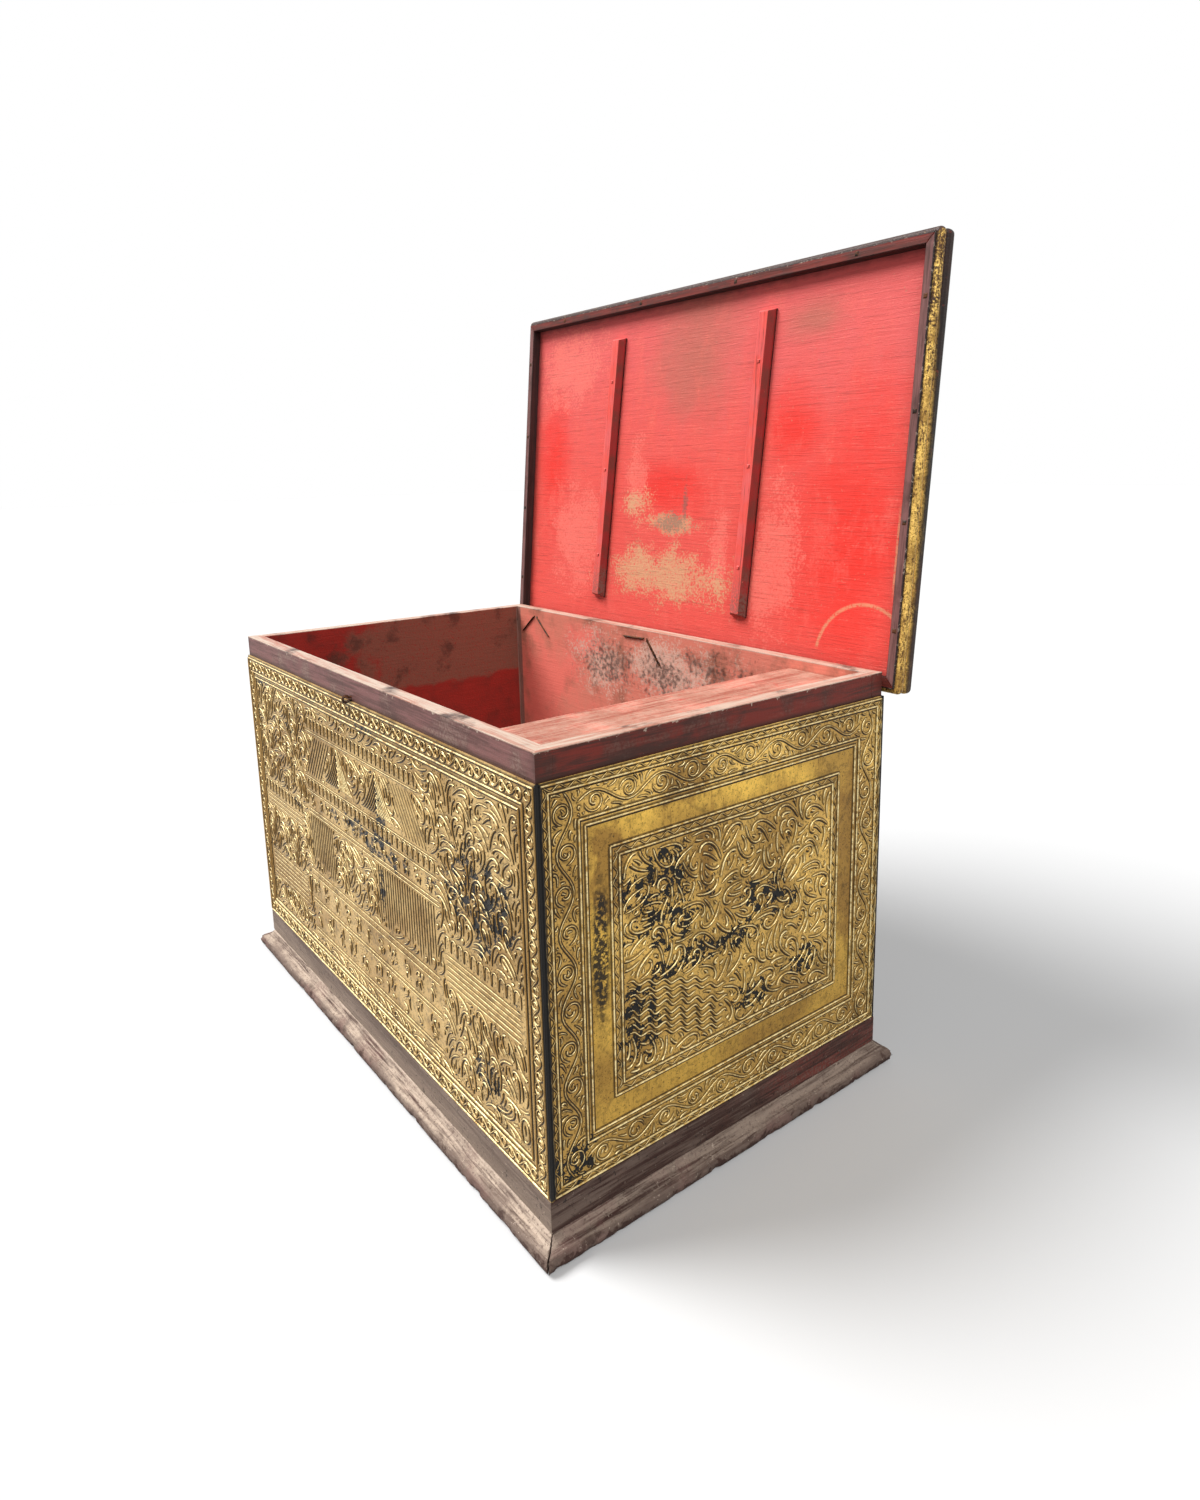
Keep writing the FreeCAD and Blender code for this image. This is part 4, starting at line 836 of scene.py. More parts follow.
def bead_finish(tree, colours):
    """Worn gilding of the lid's beads."""
    place = lid_place(tree)
    gold, front = worn_gold(tree, place, colours)
    _, _, is_long = outwards(tree, place)
    amount = tree.plus(tree.all(front, 0.30), tree.blend(is_long, 0.16, 0.50))
    lost = tree.flakes(place, 55.0, amount, 0.05)
    return {
        "Base Color": tree.mix(lost, gold, colours.umber),
        "Metallic": tree.all(tree.rest(lost), 0.35),
        "Roughness": 0.42,
        "Bump": (tree.noise(place, 240.0, 3.0, 0.6), 0.0012),
    }


def till_finish(tree, colours):
    """Faded and dusty red lacquer of the till's lid."""
    place = tree.place()
    grain = tree.grain(place, (90, 5, 90))
    mottle = tree.mottling(place, 12.0)
    fine = tree.grit(place, 220.0)
    paint = tree.mix(tree.ramp(mottle, 0.40, 0.64), colours.dusty_red, colours.faded_red)
    paint = tree.coat(paint, colours.rim, tree.ramp(grain, 0.44, 0.64), 0.45)
    lying = tree.ramp(tree.plus(tree.facing()[2], tree.sway(mottle, 1.6)), 0.3, 1.2)
    dust = tree.all(lying, tree.ramp(tree.plus(grain, tree.all(fine, 0.5)), 0.90, 0.60))
    paint = tree.coat(paint, colours.dust, dust, 0.6)
    worn = tree.flakes(place, 40.0, 0.28, 0.06)
    paint = tree.coat(paint, colours.vermilion, worn, 0.4)
    return {"Base Color": paint, "Roughness": 0.62, "Bump": (tree.plus(grain, tree.all(fine, 0.3)), 0.0014)}


def black_finish(tree, colours):
    """Dark, blotchy lacquer of the back."""
    place = tree.place()
    mottle = tree.mottling(place, 14.0)
    worn = tree.flakes(place, 45.0, 0.26, 0.05)
    paint = tree.mix(tree.ramp(mottle, 0.40, 0.65), colours.black, colours.umber)
    paint = tree.coat(paint, colours.rim, worn, 0.6)
    return {
        "Base Color": paint,
        "Roughness": tree.blend(worn, 0.32, 0.60),
        "Bump": (tree.noise(place, 200.0), 0.0006),
    }


def iron_finish(tree, colours):
    """Iron with rust on it."""
    place = tree.place()
    mottle = tree.noise(place, 160.0, 5.0, 0.65)
    rust = tree.ramp(mottle, 0.44, 0.60)
    return {
        "Base Color": tree.mix(rust, colours.iron, colours.rust),
        "Metallic": tree.blend(rust, 0.7, 0.0),
        "Roughness": tree.blend(rust, 0.48, 0.85),
        "Bump": (mottle, 0.0006),
    }


def give(paint, *nodes):
    """Puts one finish on CAD nodes or new pieces."""
    material = finished(paint)
    for node in nodes:
        piece = frame["nodes"][node] if isinstance(node, str) else node
        piece.data.materials.clear()
        piece.data.materials.append(material)


def soften(width, *nodes):
    """Rounds the edges of CAD nodes as years of handling do."""
    for node in nodes:
        piece = frame["nodes"][node]
        piece.modifiers.new("joined", "WELD").merge_threshold = JOIN_DISTANCE
        flat = piece.modifiers.new("flat", "DECIMATE")
        flat.decimate_type = "DISSOLVE"
        flat.angle_limit = FLAT_ANGLE
        bevel = piece.modifiers.new("worn", "BEVEL")
        bevel.width = width
        bevel.segments = ROUNDED_STEPS
        bevel.limit_method = "ANGLE"
        bevel.angle_limit = ROUNDED_ANGLE


# Drawing of threads, in metres on a face

# Thickness of each kind of thread, as a share of the full one
LEVEL_THICKNESS = 0.85
POST_THICKNESS = 0.52
ARCH_THICKNESS = 0.80
GABLE_THICKNESS = 0.95
TILE_THICKNESS = 0.66
WATER_THICKNESS = 0.95
SCROLL_THICKNESS = 0.85
EDGE_THICKNESS = 1.1
EDGE_WAVE_THICKNESS = 0.56
HOOK_THICKNESS = (0.85, 1.1)

# A strand keeps a point where it has turned or run this far since the last one
STRAND_TURN = math.radians(15)
STRAND_RUN = 0.006
SHORTEST_TAPER = 1e-6

# Arches of a row: start, width and height of the bead, as shares of their pitch and height
ARCH_START = 0.06
ARCH_WIDTH = 0.88
ARCH_BEAD = 0.4

# A gable: swing and lift of its lines; its least width and the steps of the inner ones, in gaps
GABLE_SWING = 1.7
GABLE_LIFT = 0.4
GABLE_LEAST = 3
GABLE_NARROWER = 2.6
GABLE_LOWER = 1.5

# How much shorter than its row a post may be
POST_SHORTER = 0.25

# A bead: its half length in metres, and the thickness of its ends and its middle
BEAD_HALF = 0.0008
BEAD_END = 0.5
BEAD_MIDDLE = 0.85
BEAD_SIZES = (0.5, 0.9)

# Waters: period and heights of the waves, and how far their two ends stay short, in metres
WATER_PERIOD = 0.025
WATER_HEIGHTS = (0.0022, 0.0034)
WATER_START = 0.004
WATER_END = 0.060

# Hooks: their lengths in metres, and their turns in radians
HOOK_LENGTHS = (0.055, 0.038, 0.024, 0.013)
HOOK_BEND = (0.1, 0.9)
HOOK_CURL = (2.2, 4.4)
BRANCH_TURN = (0.1, 0.9)
LEAN_SPREAD = 0.7

# Tries for each free place, the share of hooks that branch off others, and the part that a hook must reach
HOOK_TRIES = 9
BEAD_TRIES = 4
BRANCH_SHARE = 0.6
SHORTEST_HOOK = 0.55

# Distances between threads, as shares of the gap
HOOK_ROOM = 0.8
BEAD_ROOM = 0.72
BRANCH_DISTANCE = 0.9

# Knots of curls: middle and half width as shares of their pitch, lengths as shares of the strip's height
KNOT_MIDDLE = (0.4, 0.6)
KNOT_HALF = (0.20, 0.36)
KNOT_LENGTHS = (0.7, 0.4)

# Scroll borders: sizes as shares of the border's width, the heart and the margins in metres
SCROLL_WEIGHT = 0.88
STEM_HEIGHT = 0.31
CURL_SHIFT = 0.05
CURL_REACH = 0.40
CURL_HEART = 0.003
CURL_TURNS = (1.05, 1.35)
LEAF_LENGTHS = (0.8, 0.55, 0.38, 0.26)
SCROLL_MARGIN = 0.0008
SCROLL_END = 0.001


def strand(points, thickness=1.0, taper=0.006, tip=0.4, bulb=0.0):
    """A run of points as (x, y, thickness): thinner towards both ends, or with a bulb at its last one."""
    runs = [0.0]
    for (x0, y0), (x1, y1) in zip(points, points[1:]):
        runs.append(runs[-1] + math.hypot(x1 - x0, y1 - y0))
    taper = max(min(taper, runs[-1] / 2), SHORTEST_TAPER)
    drawn = []
    kept, heading = 0.0, None
    for number, ((x, y), run) in enumerate(zip(points, runs)):
        from_end = min(run, runs[-1] - run)
        if number < len(points) - 1:
            ahead = math.atan2(points[number + 1][1] - y, points[number + 1][0] - x)
            turn = 0.0 if heading is None else abs(math.remainder(ahead - heading, FULL_TURN))
            steady = turn < STRAND_TURN and run - kept < STRAND_RUN
            if number and steady and from_end > taper:
                continue
            kept, heading = run, ahead
        share = min(1.0, from_end / taper)
        size = tip + (1 - tip) * share
        if bulb and runs[-1] - run < taper:
            size = 1.0 + (bulb - 1.0) * (1 - (runs[-1] - run) / taper)
        drawn.append((x, y, thickness * size))
    return drawn


def spread(low, high, count):
    """Evenly spread values from low to high."""
    return [low + (high - low) * i / max(1, count - 1) for i in range(count)]


def fitted(start, end, pitch):
    """How many pitches fit between start and end, and the pitch that fills it."""
    count = max(1, round((end - start) / pitch))
    return count, (end - start) / count


def straight(start, end, step):
    count = max(1, round(math.hypot(end[0] - start[0], end[1] - start[1]) / step))
    return [(start[0] + (end[0] - start[0]) * i / count, start[1] + (end[1] - start[1]) * i / count)
            for i in range(count + 1)]


def wave(start, end, period, height, step):
    """A wavy line about the straight one from start to end."""
    length = math.hypot(end[0] - start[0], end[1] - start[1])
    along = ((end[0] - start[0]) / length, (end[1] - start[1]) / length)
    points = []
    for x, y in straight(start, end, step):
        sway = height * math.sin(FULL_TURN * math.hypot(x - start[0], y - start[1]) / period)
        points.append((x - along[1] * sway, y + along[0] * sway))
    return points


def spiral(centre, start_angle, outer, inner, turns, step):
    """A curl from its outer end to its heart; turns below 0 wind clockwise."""
    points = []
    share = 0.0
    while share < 1.0:
        radius = inner + (outer - inner) * (1 - share)
        angle = start_angle + FULL_TURN * turns * share
        points.append((centre[0] + radius * math.cos(angle), centre[1] + radius * math.sin(angle)))
        share += step / (FULL_TURN * abs(turns) * radius)
    return points


def arch(x, y, width, height, step):
    """A round-headed arch that stands on y, with its left foot at x."""
    radius = width / 2
    points = straight((x, y), (x, y + height - radius), step)[:-1]
    points += spiral((x + radius, y + height - radius), math.pi, radius, radius, -0.5, step)
    return points + straight((x + width, y + height - radius), (x + width, y), step)


def gable(x, y, width, height, step):
    """An ogee, as on the front of a roof: two swung lines that meet in a point."""
    points = []
    count = max(4, round((width + height) / step))
    for i in range(count + 1):
        share = 2 * i / count - 1
        inwards = 1 - abs(share)
        rise = inwards ** GABLE_SWING * (1 + GABLE_LIFT - GABLE_LIFT * inwards)
        points.append((x + share * width / 2, y + height * rise))
    return points


class Drawing:
    """Threads on one face that keep a steady distance from one another."""

    def __init__(self, gap, step, rng, weight=1.0):
        self.gap, self.step, self.rng, self.weight = gap, step, rng, weight
        self.strands, self.knots, self.cells, self.plain = [], [], {}, []

    def cell(self, x, y):
        return int(x // self.gap), int(y // self.gap)

    def mark(self, x, y):
        """Notes that a thread passes a point."""
        self.cells.setdefault(self.cell(x, y), []).append((x, y))

    def near(self, x, y, clearance):
        """Whether a thread is nearer to a point than the clearance."""
        column, row = self.cell(x, y)
        for i in (-1, 0, 1):
            for j in (-1, 0, 1):
                for px, py in self.cells.get((column + i, row + j), ()):
                    if (px - x) ** 2 + (py - y) ** 2 < clearance ** 2:
                        return True
        return False

    def draw(self, points, thickness=1.0, **ends):
        """Adds a thread, whatever it crosses."""
        for (x, y), (next_x, next_y) in zip(points, points[1:] + points[-1:]):
            self.mark(x, y)
            self.knots.append((x, y, math.atan2(next_y - y, next_x - x)))
        self.strands.append(strand(points, self.weight * thickness, **ends))

    def bead(self, x, y, size):
        """A dot of lacquer, as a very short thread."""
        size *= self.weight
        half = BEAD_HALF * size
        end = BEAD_END * size
        self.mark(x, y)
        self.strands.append([(x - half, y, end), (x, y, BEAD_MIDDLE * size), (x + half, y, end)])

    def lines(self, x0, x1, y0, y1, count):
        """Level lines, evenly spread between two heights."""
        for y in spread(y0, y1, count):
            self.draw(straight((x0, y), (x1, y), self.step), LEVEL_THICKNESS)

    def posts(self, x0, x1, y0, y1, count):
        """Upright lines, evenly spread from side to side."""
        for x in spread(x0, x1, count):
            foot = y0 + self.rng.uniform(0, POST_SHORTER) * (y1 - y0)
            self.draw(straight((x, foot), (x, y1), self.step), POST_THICKNESS, bulb=1.4)

    def arches(self, x0, x1, y, height, pitch):
        """A row of arches, each with a bead in it."""
        count, pitch = fitted(x0, x1, pitch)
        for i in range(count):
            points = arch(x0 + (i + ARCH_START) * pitch, y, ARCH_WIDTH * pitch, height, self.step)
            self.draw(points, ARCH_THICKNESS)
            self.bead(x0 + (i + 0.5) * pitch, y + ARCH_BEAD * height, 1.0)

    def gables(self, x, y, width, height):
        """A gable with smaller ones inside it."""
        while width > GABLE_LEAST * self.gap:
            self.draw(gable(x, y, width, height, self.step), GABLE_THICKNESS)
            width -= GABLE_NARROWER * self.gap
            height -= GABLE_LOWER * self.gap

    def slope(self, x0, x1, y0, y1, lean, count):
        """Slanting lines, as the tiles of a roof."""
        for x in spread(x0, x1, count):
            self.draw(straight((x, y0), (x + lean, y1), self.step), TILE_THICKNESS)

    def waters(self, x0, x1, y0, y1, fall, count):
        """Wavy lines that run down to one side."""
        for y in spread(y0, y1, count):
            start = x0 + self.rng.uniform(0, WATER_START)
            end = x1 - self.rng.uniform(0, WATER_END)
            low = y - fall * (end - start) / (x1 - x0)
            height = self.rng.uniform(*WATER_HEIGHTS)
            self.draw(wave((start, y), (end, low), WATER_PERIOD, height, self.step / 2), WATER_THICKNESS)

    def hook(self, x, y, angle, length, side, room):
        """Points of a thread that bends to one side and curls up, as far as there is room."""
        count = round(length / self.step)
        bend = self.rng.uniform(*HOOK_BEND) / length
        curl = 3 * self.rng.uniform(*HOOK_CURL) / length
        points = [(x, y)]
        for number in range(count):
            angle += side * self.step * (bend + curl * (number / count) ** 2)
            x += self.step * math.cos(angle)
            y += self.step * math.sin(angle)
            if not room(x, y) or self.near(x, y, HOOK_ROOM * self.gap):
                break
            points.append((x, y))
        return points

    def fill(self, low, high, lengths, lean=None, weight=1.0):
        """Fills what is free between two corners, with hooks that branch off one another and then beads."""
        rng = self.rng

        def inside(x, y):
            if any(left < x < right and foot < y < top for left, right, foot, top in self.plain):
                return False
            return low[0] < x < high[0] and low[1] < y < high[1]

        area = (high[0] - low[0]) * (high[1] - low[1])
        for length in lengths:
            for _ in range(int(HOOK_TRIES * area / (self.gap * length))):
                side = rng.choice((-1, 1))
                x, y = rng.uniform(low[0], high[0]), rng.uniform(low[1], high[1])
                angle = rng.uniform(0, FULL_TURN) if lean is None else rng.gauss(lean, LEAN_SPREAD)
                if self.knots and rng.random() < BRANCH_SHARE:
                    x, y, angle = rng.choice(self.knots)
                    x -= side * BRANCH_DISTANCE * self.gap * math.sin(angle)
                    y += side * BRANCH_DISTANCE * self.gap * math.cos(angle)
                    angle += side * rng.uniform(*BRANCH_TURN)
                if not inside(x, y) or self.near(x, y, HOOK_ROOM * self.gap):
                    continue
                points = self.hook(x, y, angle, length, side, inside)
                if len(points) * self.step > SHORTEST_HOOK * length:
                    self.draw(points, weight * rng.uniform(*HOOK_THICKNESS), tip=0.5, bulb=1.2)
        for _ in range(int(BEAD_TRIES * area / self.gap ** 2)):
            x, y = rng.uniform(low[0], high[0]), rng.uniform(low[1], high[1])
            if inside(x, y) and not self.near(x, y, BEAD_ROOM * self.gap):
                self.bead(x, y, weight * rng.uniform(*BEAD_SIZES))

    def knots_on_plain(self, x0, x1, y0, y1, pitch):
        """Knots of curls, spread along a strip that is plain between them."""
        count, pitch = fitted(x0, x1, pitch)
        for i in range(count):
            x = x0 + (i + self.rng.uniform(*KNOT_MIDDLE)) * pitch
            half = self.rng.uniform(*KNOT_HALF) * pitch
            lengths = [share * (y1 - y0) for share in KNOT_LENGTHS]
            self.fill((x - half, y0), (x + half, y1), lengths, math.pi / 2)
        self.plain.append((x0, x1, y0, y1))

    def placed(self, origin, angle):
        """The strands, set on the face at a place and angle."""
        cos, sin = math.cos(angle), math.sin(angle)
        return [[(origin[0] + x * cos - y * sin, origin[1] + x * sin + y * cos, size)
                 for x, y, size in line] for line in self.strands]


def scroll_band(length, width, pitch, gap, step, rng):
    """A running scroll along a band from (0, 0): a wavy stem, a curl in each hollow and leaves between."""
    band = Drawing(gap, step, rng, SCROLL_WEIGHT)
    count = max(2, round(length / pitch))
    pitch = length / count
    band.draw(wave((0, 0), (length, 0), 2 * pitch, STEM_HEIGHT * width, step), SCROLL_THICKNESS)
    for number in range(count):
        side = 1 if number % 2 == 0 else -1
        centre = ((number + 0.5) * pitch, -side * CURL_SHIFT * width)
        outer = min(pitch / 2, CURL_REACH * width)
        curl = spiral(centre, math.pi, outer, CURL_HEART, side * rng.uniform(*CURL_TURNS), step)
        band.draw(curl, SCROLL_THICKNESS, bulb=1.3)
    half = width / 2 - SCROLL_MARGIN
    lengths = [share * width for share in LEAF_LENGTHS]
    band.fill((SCROLL_END, -half), (length - SCROLL_END, half), lengths, None, SCROLL_THICKNESS)
    return band


def scroll_frame(half_run, low, high, inset, width, pitch, gap, step, rng):
    """Scroll bands along the four sides of a frame."""
    middle = inset + width / 2
    across, upright = 2 * (half_run - inset - width), high - low - 2 * inset
    places = (
        (upright, (-half_run + middle, low + inset), math.pi / 2),
        (upright, (half_run - middle, high - inset), -math.pi / 2),
        (across, (-across / 2, high - middle), 0.0),
        (across, (across / 2, low + middle), math.pi),
    )
    drawn = []
    for length, origin, angle in places:
        drawn += scroll_band(length, width, pitch, gap, step, rng).placed(origin, angle)
    return drawn


def line_frame(half_run, low, high, inset, step, thickness, period=0.0, height=0.0):
    """Straight or wavy lines along the four sides of a frame."""
    x = half_run - inset
    corners = [(-x, low + inset), (x, low + inset), (x, high - inset), (-x, high - inset)]
    drawn = []
    for start, end in zip(corners, corners[1:] + corners[:1]):
        points = wave(start, end, period, height, step / 2) if period else straight(start, end, step)
        drawn.append(strand(points, thickness, tip=0.9))
    return drawn


# Faces of the chest that carry threads

def face_matrix(side):
    """From a drawing to a face of the chest."""
    right, out, reach = {
        "front": ((1, 0, 0), (0, -1, 0), WALL_Y),
        "right": ((0, 1, 0), (1, 0, 0), WALL_X),
        "left": ((0, -1, 0), (-1, 0, 0), WALL_X),
    }[side]
    right, up, out = Vector(right), Vector((0, 0, 1)), Vector(out)
    turn = Matrix((right, up, out)).transposed().to_4x4()
    return Matrix.Translation(out * (reach + bpy.context.scene.chest_sizes.ground)) @ turn


def deselect():
    for thing in bpy.context.view_layer.objects:
        thing.select_set(False)


def select(piece):
    deselect()
    piece.select_set(True)
    bpy.context.view_layer.objects.active = piece


# Left flank of a thread's section from its foot upwards, as shares of its half width and its height
THREAD_FLANK = ((-1.0, -0.03), (-0.31, 0.18), (-0.22, 0.80))
THREAD_SECTION = (*THREAD_FLANK, (0.0, 1.0), *((-across, up) for across, up in reversed(THREAD_FLANK)))


def thread_section(sizes):
    """Section of a thread: a round back on two thin flanges that run into the ground."""
    curve = bpy.data.curves.new("thread_section", "CURVE")
    spline = curve.splines.new("POLY")
    spline.points.add(len(THREAD_SECTION) - 1)
    for point, (across, up) in zip(spline.points, THREAD_SECTION):
        point.co = (across * sizes.thread_width / 2, up * sizes.thread_height, 0, 1)
    spline.use_cyclic_u = True
    section = bpy.data.objects.new("thread_section", curve)
    bpy.context.scene.collection.objects.link(section)
    return section


def lay_threads(name, side, strands):
    """Draws the strands as curves with the thread's section, and sets them on a face of the chest."""
    section = thread_section(bpy.context.scene.chest_sizes)
    curve = bpy.data.curves.new(name, "CURVE")
    curve.dimensions = "3D"
    curve.twist_mode = "Z_UP"
    curve.bevel_mode = "OBJECT"
    curve.bevel_object = section
    curve.use_fill_caps = True
    for line in strands:
        spline = curve.splines.new("POLY")
        spline.points.add(len(line) - 1)
        for point, (x, y, size) in zip(spline.points, line):
            point.co = (x, y, 0, 1)
            point.radius = size
    piece = bpy.data.objects.new(name, curve)
    bpy.context.scene.collection.objects.link(piece)
    select(piece)
    bpy.ops.object.convert(target="MESH")
    piece.matrix_world = face_matrix(side)
    bpy.ops.object.transform_apply(location=True, rotation=True, scale=True)
    bpy.ops.object.shade_smooth_by_angle(angle=SMOOTH_THREAD)
    bpy.data.objects.remove(section)
    give(gilded_finish, piece)
    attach(piece, "chest")


class CHEST_OT_carcase(bpy.types.Operator):
    """Finish the walls, the bottom, the back and the boards of the till"""

    bl_idname = "chest.carcase"
    bl_label = "Carcase"

    def execute(self, context):
        walls = [side + "_wall" for side in SIDES]
        give(wall_finish, *walls, "till_side", "till_bottom", "bottom_board_front", "bottom_board_back")
        give(black_finish, "back_panel")
        soften(context.scene.chest_sizes.edge_wear, *walls)
        return {"FINISHED"}


class CHEST_OT_till_lid(bpy.types.Operator):
    """Finish the lid of the till"""

    bl_idname = "chest.till_lid"
    bl_label = "Till lid"

    def execute(self, context):
        give(till_finish, "till_lid")
        soften(context.scene.chest_sizes.edge_wear, "till_lid")
        return {"FINISHED"}


class CHEST_OT_lid(bpy.types.Operator):
    """Finish the lid's boards, rails, beads and battens"""

    bl_idname = "chest.lid"
    bl_label = "Lid"

    def execute(self, context):
        rails = ["lid_rail_" + side for side in SIDES]
        battens = ["lid_batten_left", "lid_batten_right"]
        give(lid_finish, "lid_board_front", "lid_board_back")
        give(rail_finish, *rails)
        give(bead_finish, *("lid_bead_" + side for side in SIDES))
        give(batten_finish, *battens, "lid_batten_nails")
        soften(context.scene.chest_sizes.edge_wear, *rails, *battens)
        return {"FINISHED"}


class CHEST_OT_ironwork(bpy.types.Operator):
    """Finish the hinges, the lock staple and the nails that aren't painted over"""

    bl_idname = "chest.ironwork"
    bl_label = "Ironwork"

    def execute(self, context):
        hinges = [node for node in frame["nodes"] if node.startswith("hinge_")]
        give(iron_finish, *hinges, "lock_staple", "lid_rail_nails", "bottom_nails", "plinth_nails")
        return {"FINISHED"}


class CHEST_OT_base_bands(bpy.types.Operator):
    """Finish the base bands"""

    bl_idname = "chest.base_bands"
    bl_label = "Base bands"

    def execute(self, context):
        bands = ["base_band_" + side for side in SIDES]
        give(band_finish, *bands)
        soften(context.scene.chest_sizes.edge_wear, *bands)
        return {"FINISHED"}


# Wear of the plinth: where it begins outside the bands, where chips end, and how far both take to grow
WEAR_START = 0.001
WEAR_GROWTH = 0.005
CHIP_TOP = 0.022
CHIP_GROWTH = 0.010

# Middle and least wear as shares of its depth, and how sharply chips stand out of their noise
MIDDLE_WEAR = 0.5
LEAST_WEAR = 0.1
CHIP_GAIN = 2.2
CHIP_THRESHOLD = 0.35

# Noises of the wear, each as its scale and its strength
UNEVEN_WAVES = ((22, 0.5), (140, 0.25))
CHIP_WAVES = ((48, 1.0), (110, 0.6))


def layered_noise(place, kinds, level=0.0):
    """Noises laid over one another, about a level."""
    return sum((strength * noise.noise(place * scale) for scale, strength in kinds), level)


def clamp(value):
    return min(1.0, max(0.0, value))


class CHEST_OT_plinth(bpy.types.Operator):
    """Wear the plinth rails: uneven all over, with chips along the foot"""

    bl_idname = "chest.plinth"
    bl_label = "Plinth"

    def execute(self, context):
        sizes = context.scene.chest_sizes
        give(plinth_finish, "base_bearer")
        for side in SIDES:
            node = "plinth_" + side
            piece = self.cut_in_cells(node, sizes.wear_cell)
            self.wear(piece.data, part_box(node), sizes.wear_depth, sizes.chip_depth)
            select(piece)
            bpy.ops.object.shade_smooth_by_angle(angle=SMOOTH_PLINTH)
            give(plinth_finish, piece)
            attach(piece, "chest")
            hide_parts(node)
        return {"FINISHED"}

    def cut_in_cells(self, node, cell):
        """A copy of a solid, as an even net of small faces."""
        solid = frame["nodes"][node]
        piece = bpy.data.objects.new("worn_" + node, solid.data.copy())
        piece.matrix_world = solid.matrix_world
        bpy.context.scene.collection.objects.link(piece)
        select(piece)
        bpy.ops.object.transform_apply(location=True, rotation=True, scale=True)
        piece.modifiers.new("joined", "WELD").merge_threshold = JOIN_DISTANCE
        net = piece.modifiers.new("net", "REMESH")
        net.mode = "VOXEL"
        net.voxel_size = cell
        for name in ("joined", "net"):
            bpy.ops.object.modifier_apply(modifier=name)
        return piece

    def wear(self, mesh, box, depth, chip):
        """Presses the faces that stand out from the chest inwards, most of all along the foot."""
        face_x, face_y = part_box("base_band_right")[1].x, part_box("base_band_back")[1].y
        normals = [corner.normal.copy() for corner in mesh.vertices]
        for corner, normal in zip(mesh.vertices, normals):
            place = corner.co
            out = max(abs(place.x) - face_x, abs(place.y) - face_y)
            free = clamp((out - WEAR_START) / WEAR_GROWTH)
            near_foot = clamp((CHIP_TOP - place.z) / CHIP_GROWTH)
            uneven = max(LEAST_WEAR, layered_noise(place, UNEVEN_WAVES, MIDDLE_WEAR))
            chipped = clamp(CHIP_GAIN * layered_noise(place, CHIP_WAVES) - CHIP_THRESHOLD)
            worn = place - normal * free * (depth * uneven + chip * near_foot * chipped)
            corner.co = [min(max(at, low), high) for at, low, high in zip(worn, *box)]


# Relief of the ends: seeds of the random draws, and sizes in metres from the edge inwards
END_SEEDS = {"right": 5, "left": 11}
END_SCROLL_INSET = 0.0142
END_SCROLL_WIDTH = 0.0324
END_WAVE_INSETS = (0.0074, 0.0949)
EDGE_WAVE_PERIOD = 0.021
EDGE_WAVE_HEIGHT = 0.0028
END_PANEL_INSET = 0.1045
END_PANEL_SPREAD = 1.12
END_PANEL_WEIGHT = 0.96
END_WATERS_X = (0.002, 0.165)
END_WATERS_Z = (0.052, 0.116)

# Relief of the front, in the same way
FRONT_SEED = 3
FRONT_SCROLL_INSET = 0.0063
FRONT_SCROLL_WIDTH = 0.0176
FRONT_SCROLL_PITCH = 0.0165
FRONT_FIELD_INSET = 0.038
FRONT_FIELD_WEIGHT = 0.82

# Parts of the front's field from side to side; the field is laid in three pieces
HALL = (-0.215, 0.235)
HALL_ROW = (-0.205, 0.225)
TERRACE = (-0.225, 0.225)
LEFT_WING = (-0.418, -0.245)
RIGHT_WING = (0.240, 0.418)
FRONT_THIRDS = (-FRONT_HALF, -0.15, 0.15, FRONT_HALF)


def field_corners(half_run, inset):
    """Lower left and upper right corner of what lies inside a border."""
    return (-half_run + inset, RELIEF_LOW + inset), (half_run - inset, RELIEF_TOP - inset)


class CHEST_OT_end_relief(bpy.types.Operator):
    """Gild the right and left ends and lay their threads"""

    bl_idname = "chest.end_relief"
    bl_label = "End relief"

    def execute(self, context):
        sizes = context.scene.chest_sizes
        step = sizes.thread_step
        outline = (END_HALF, RELIEF_LOW, RELIEF_TOP)
        (left, foot), high = field_corners(END_HALF, END_PANEL_INSET)
        for side, seed in END_SEEDS.items():
            give(gilded_finish, side + "_relief")
            rng = random.Random(seed)
            border = scroll_frame(*outline, END_SCROLL_INSET, END_SCROLL_WIDTH, sizes.scroll_pitch,
                                  sizes.border_gap, step, rng)
            for inset in END_WAVE_INSETS:
                border += line_frame(*outline, inset, step, EDGE_WAVE_THICKNESS, EDGE_WAVE_PERIOD,
                                     EDGE_WAVE_HEIGHT)
            for inset in END_LINES:
                border += line_frame(*outline, inset, step, EDGE_THICKNESS)
            lay_threads(side + "_border_threads", side, border)
            panel = Drawing(END_PANEL_SPREAD * sizes.field_gap, step, rng, END_PANEL_WEIGHT)
            waters = [left + x for x in END_WATERS_X] + [foot + z for z in END_WATERS_Z]
            panel.waters(*waters, fall=0.052, count=8)
            panel.fill((left, foot), high, HOOK_LENGTHS)
            lay_threads(side + "_panel_threads", side, panel.strands)
        return {"FINISHED"}


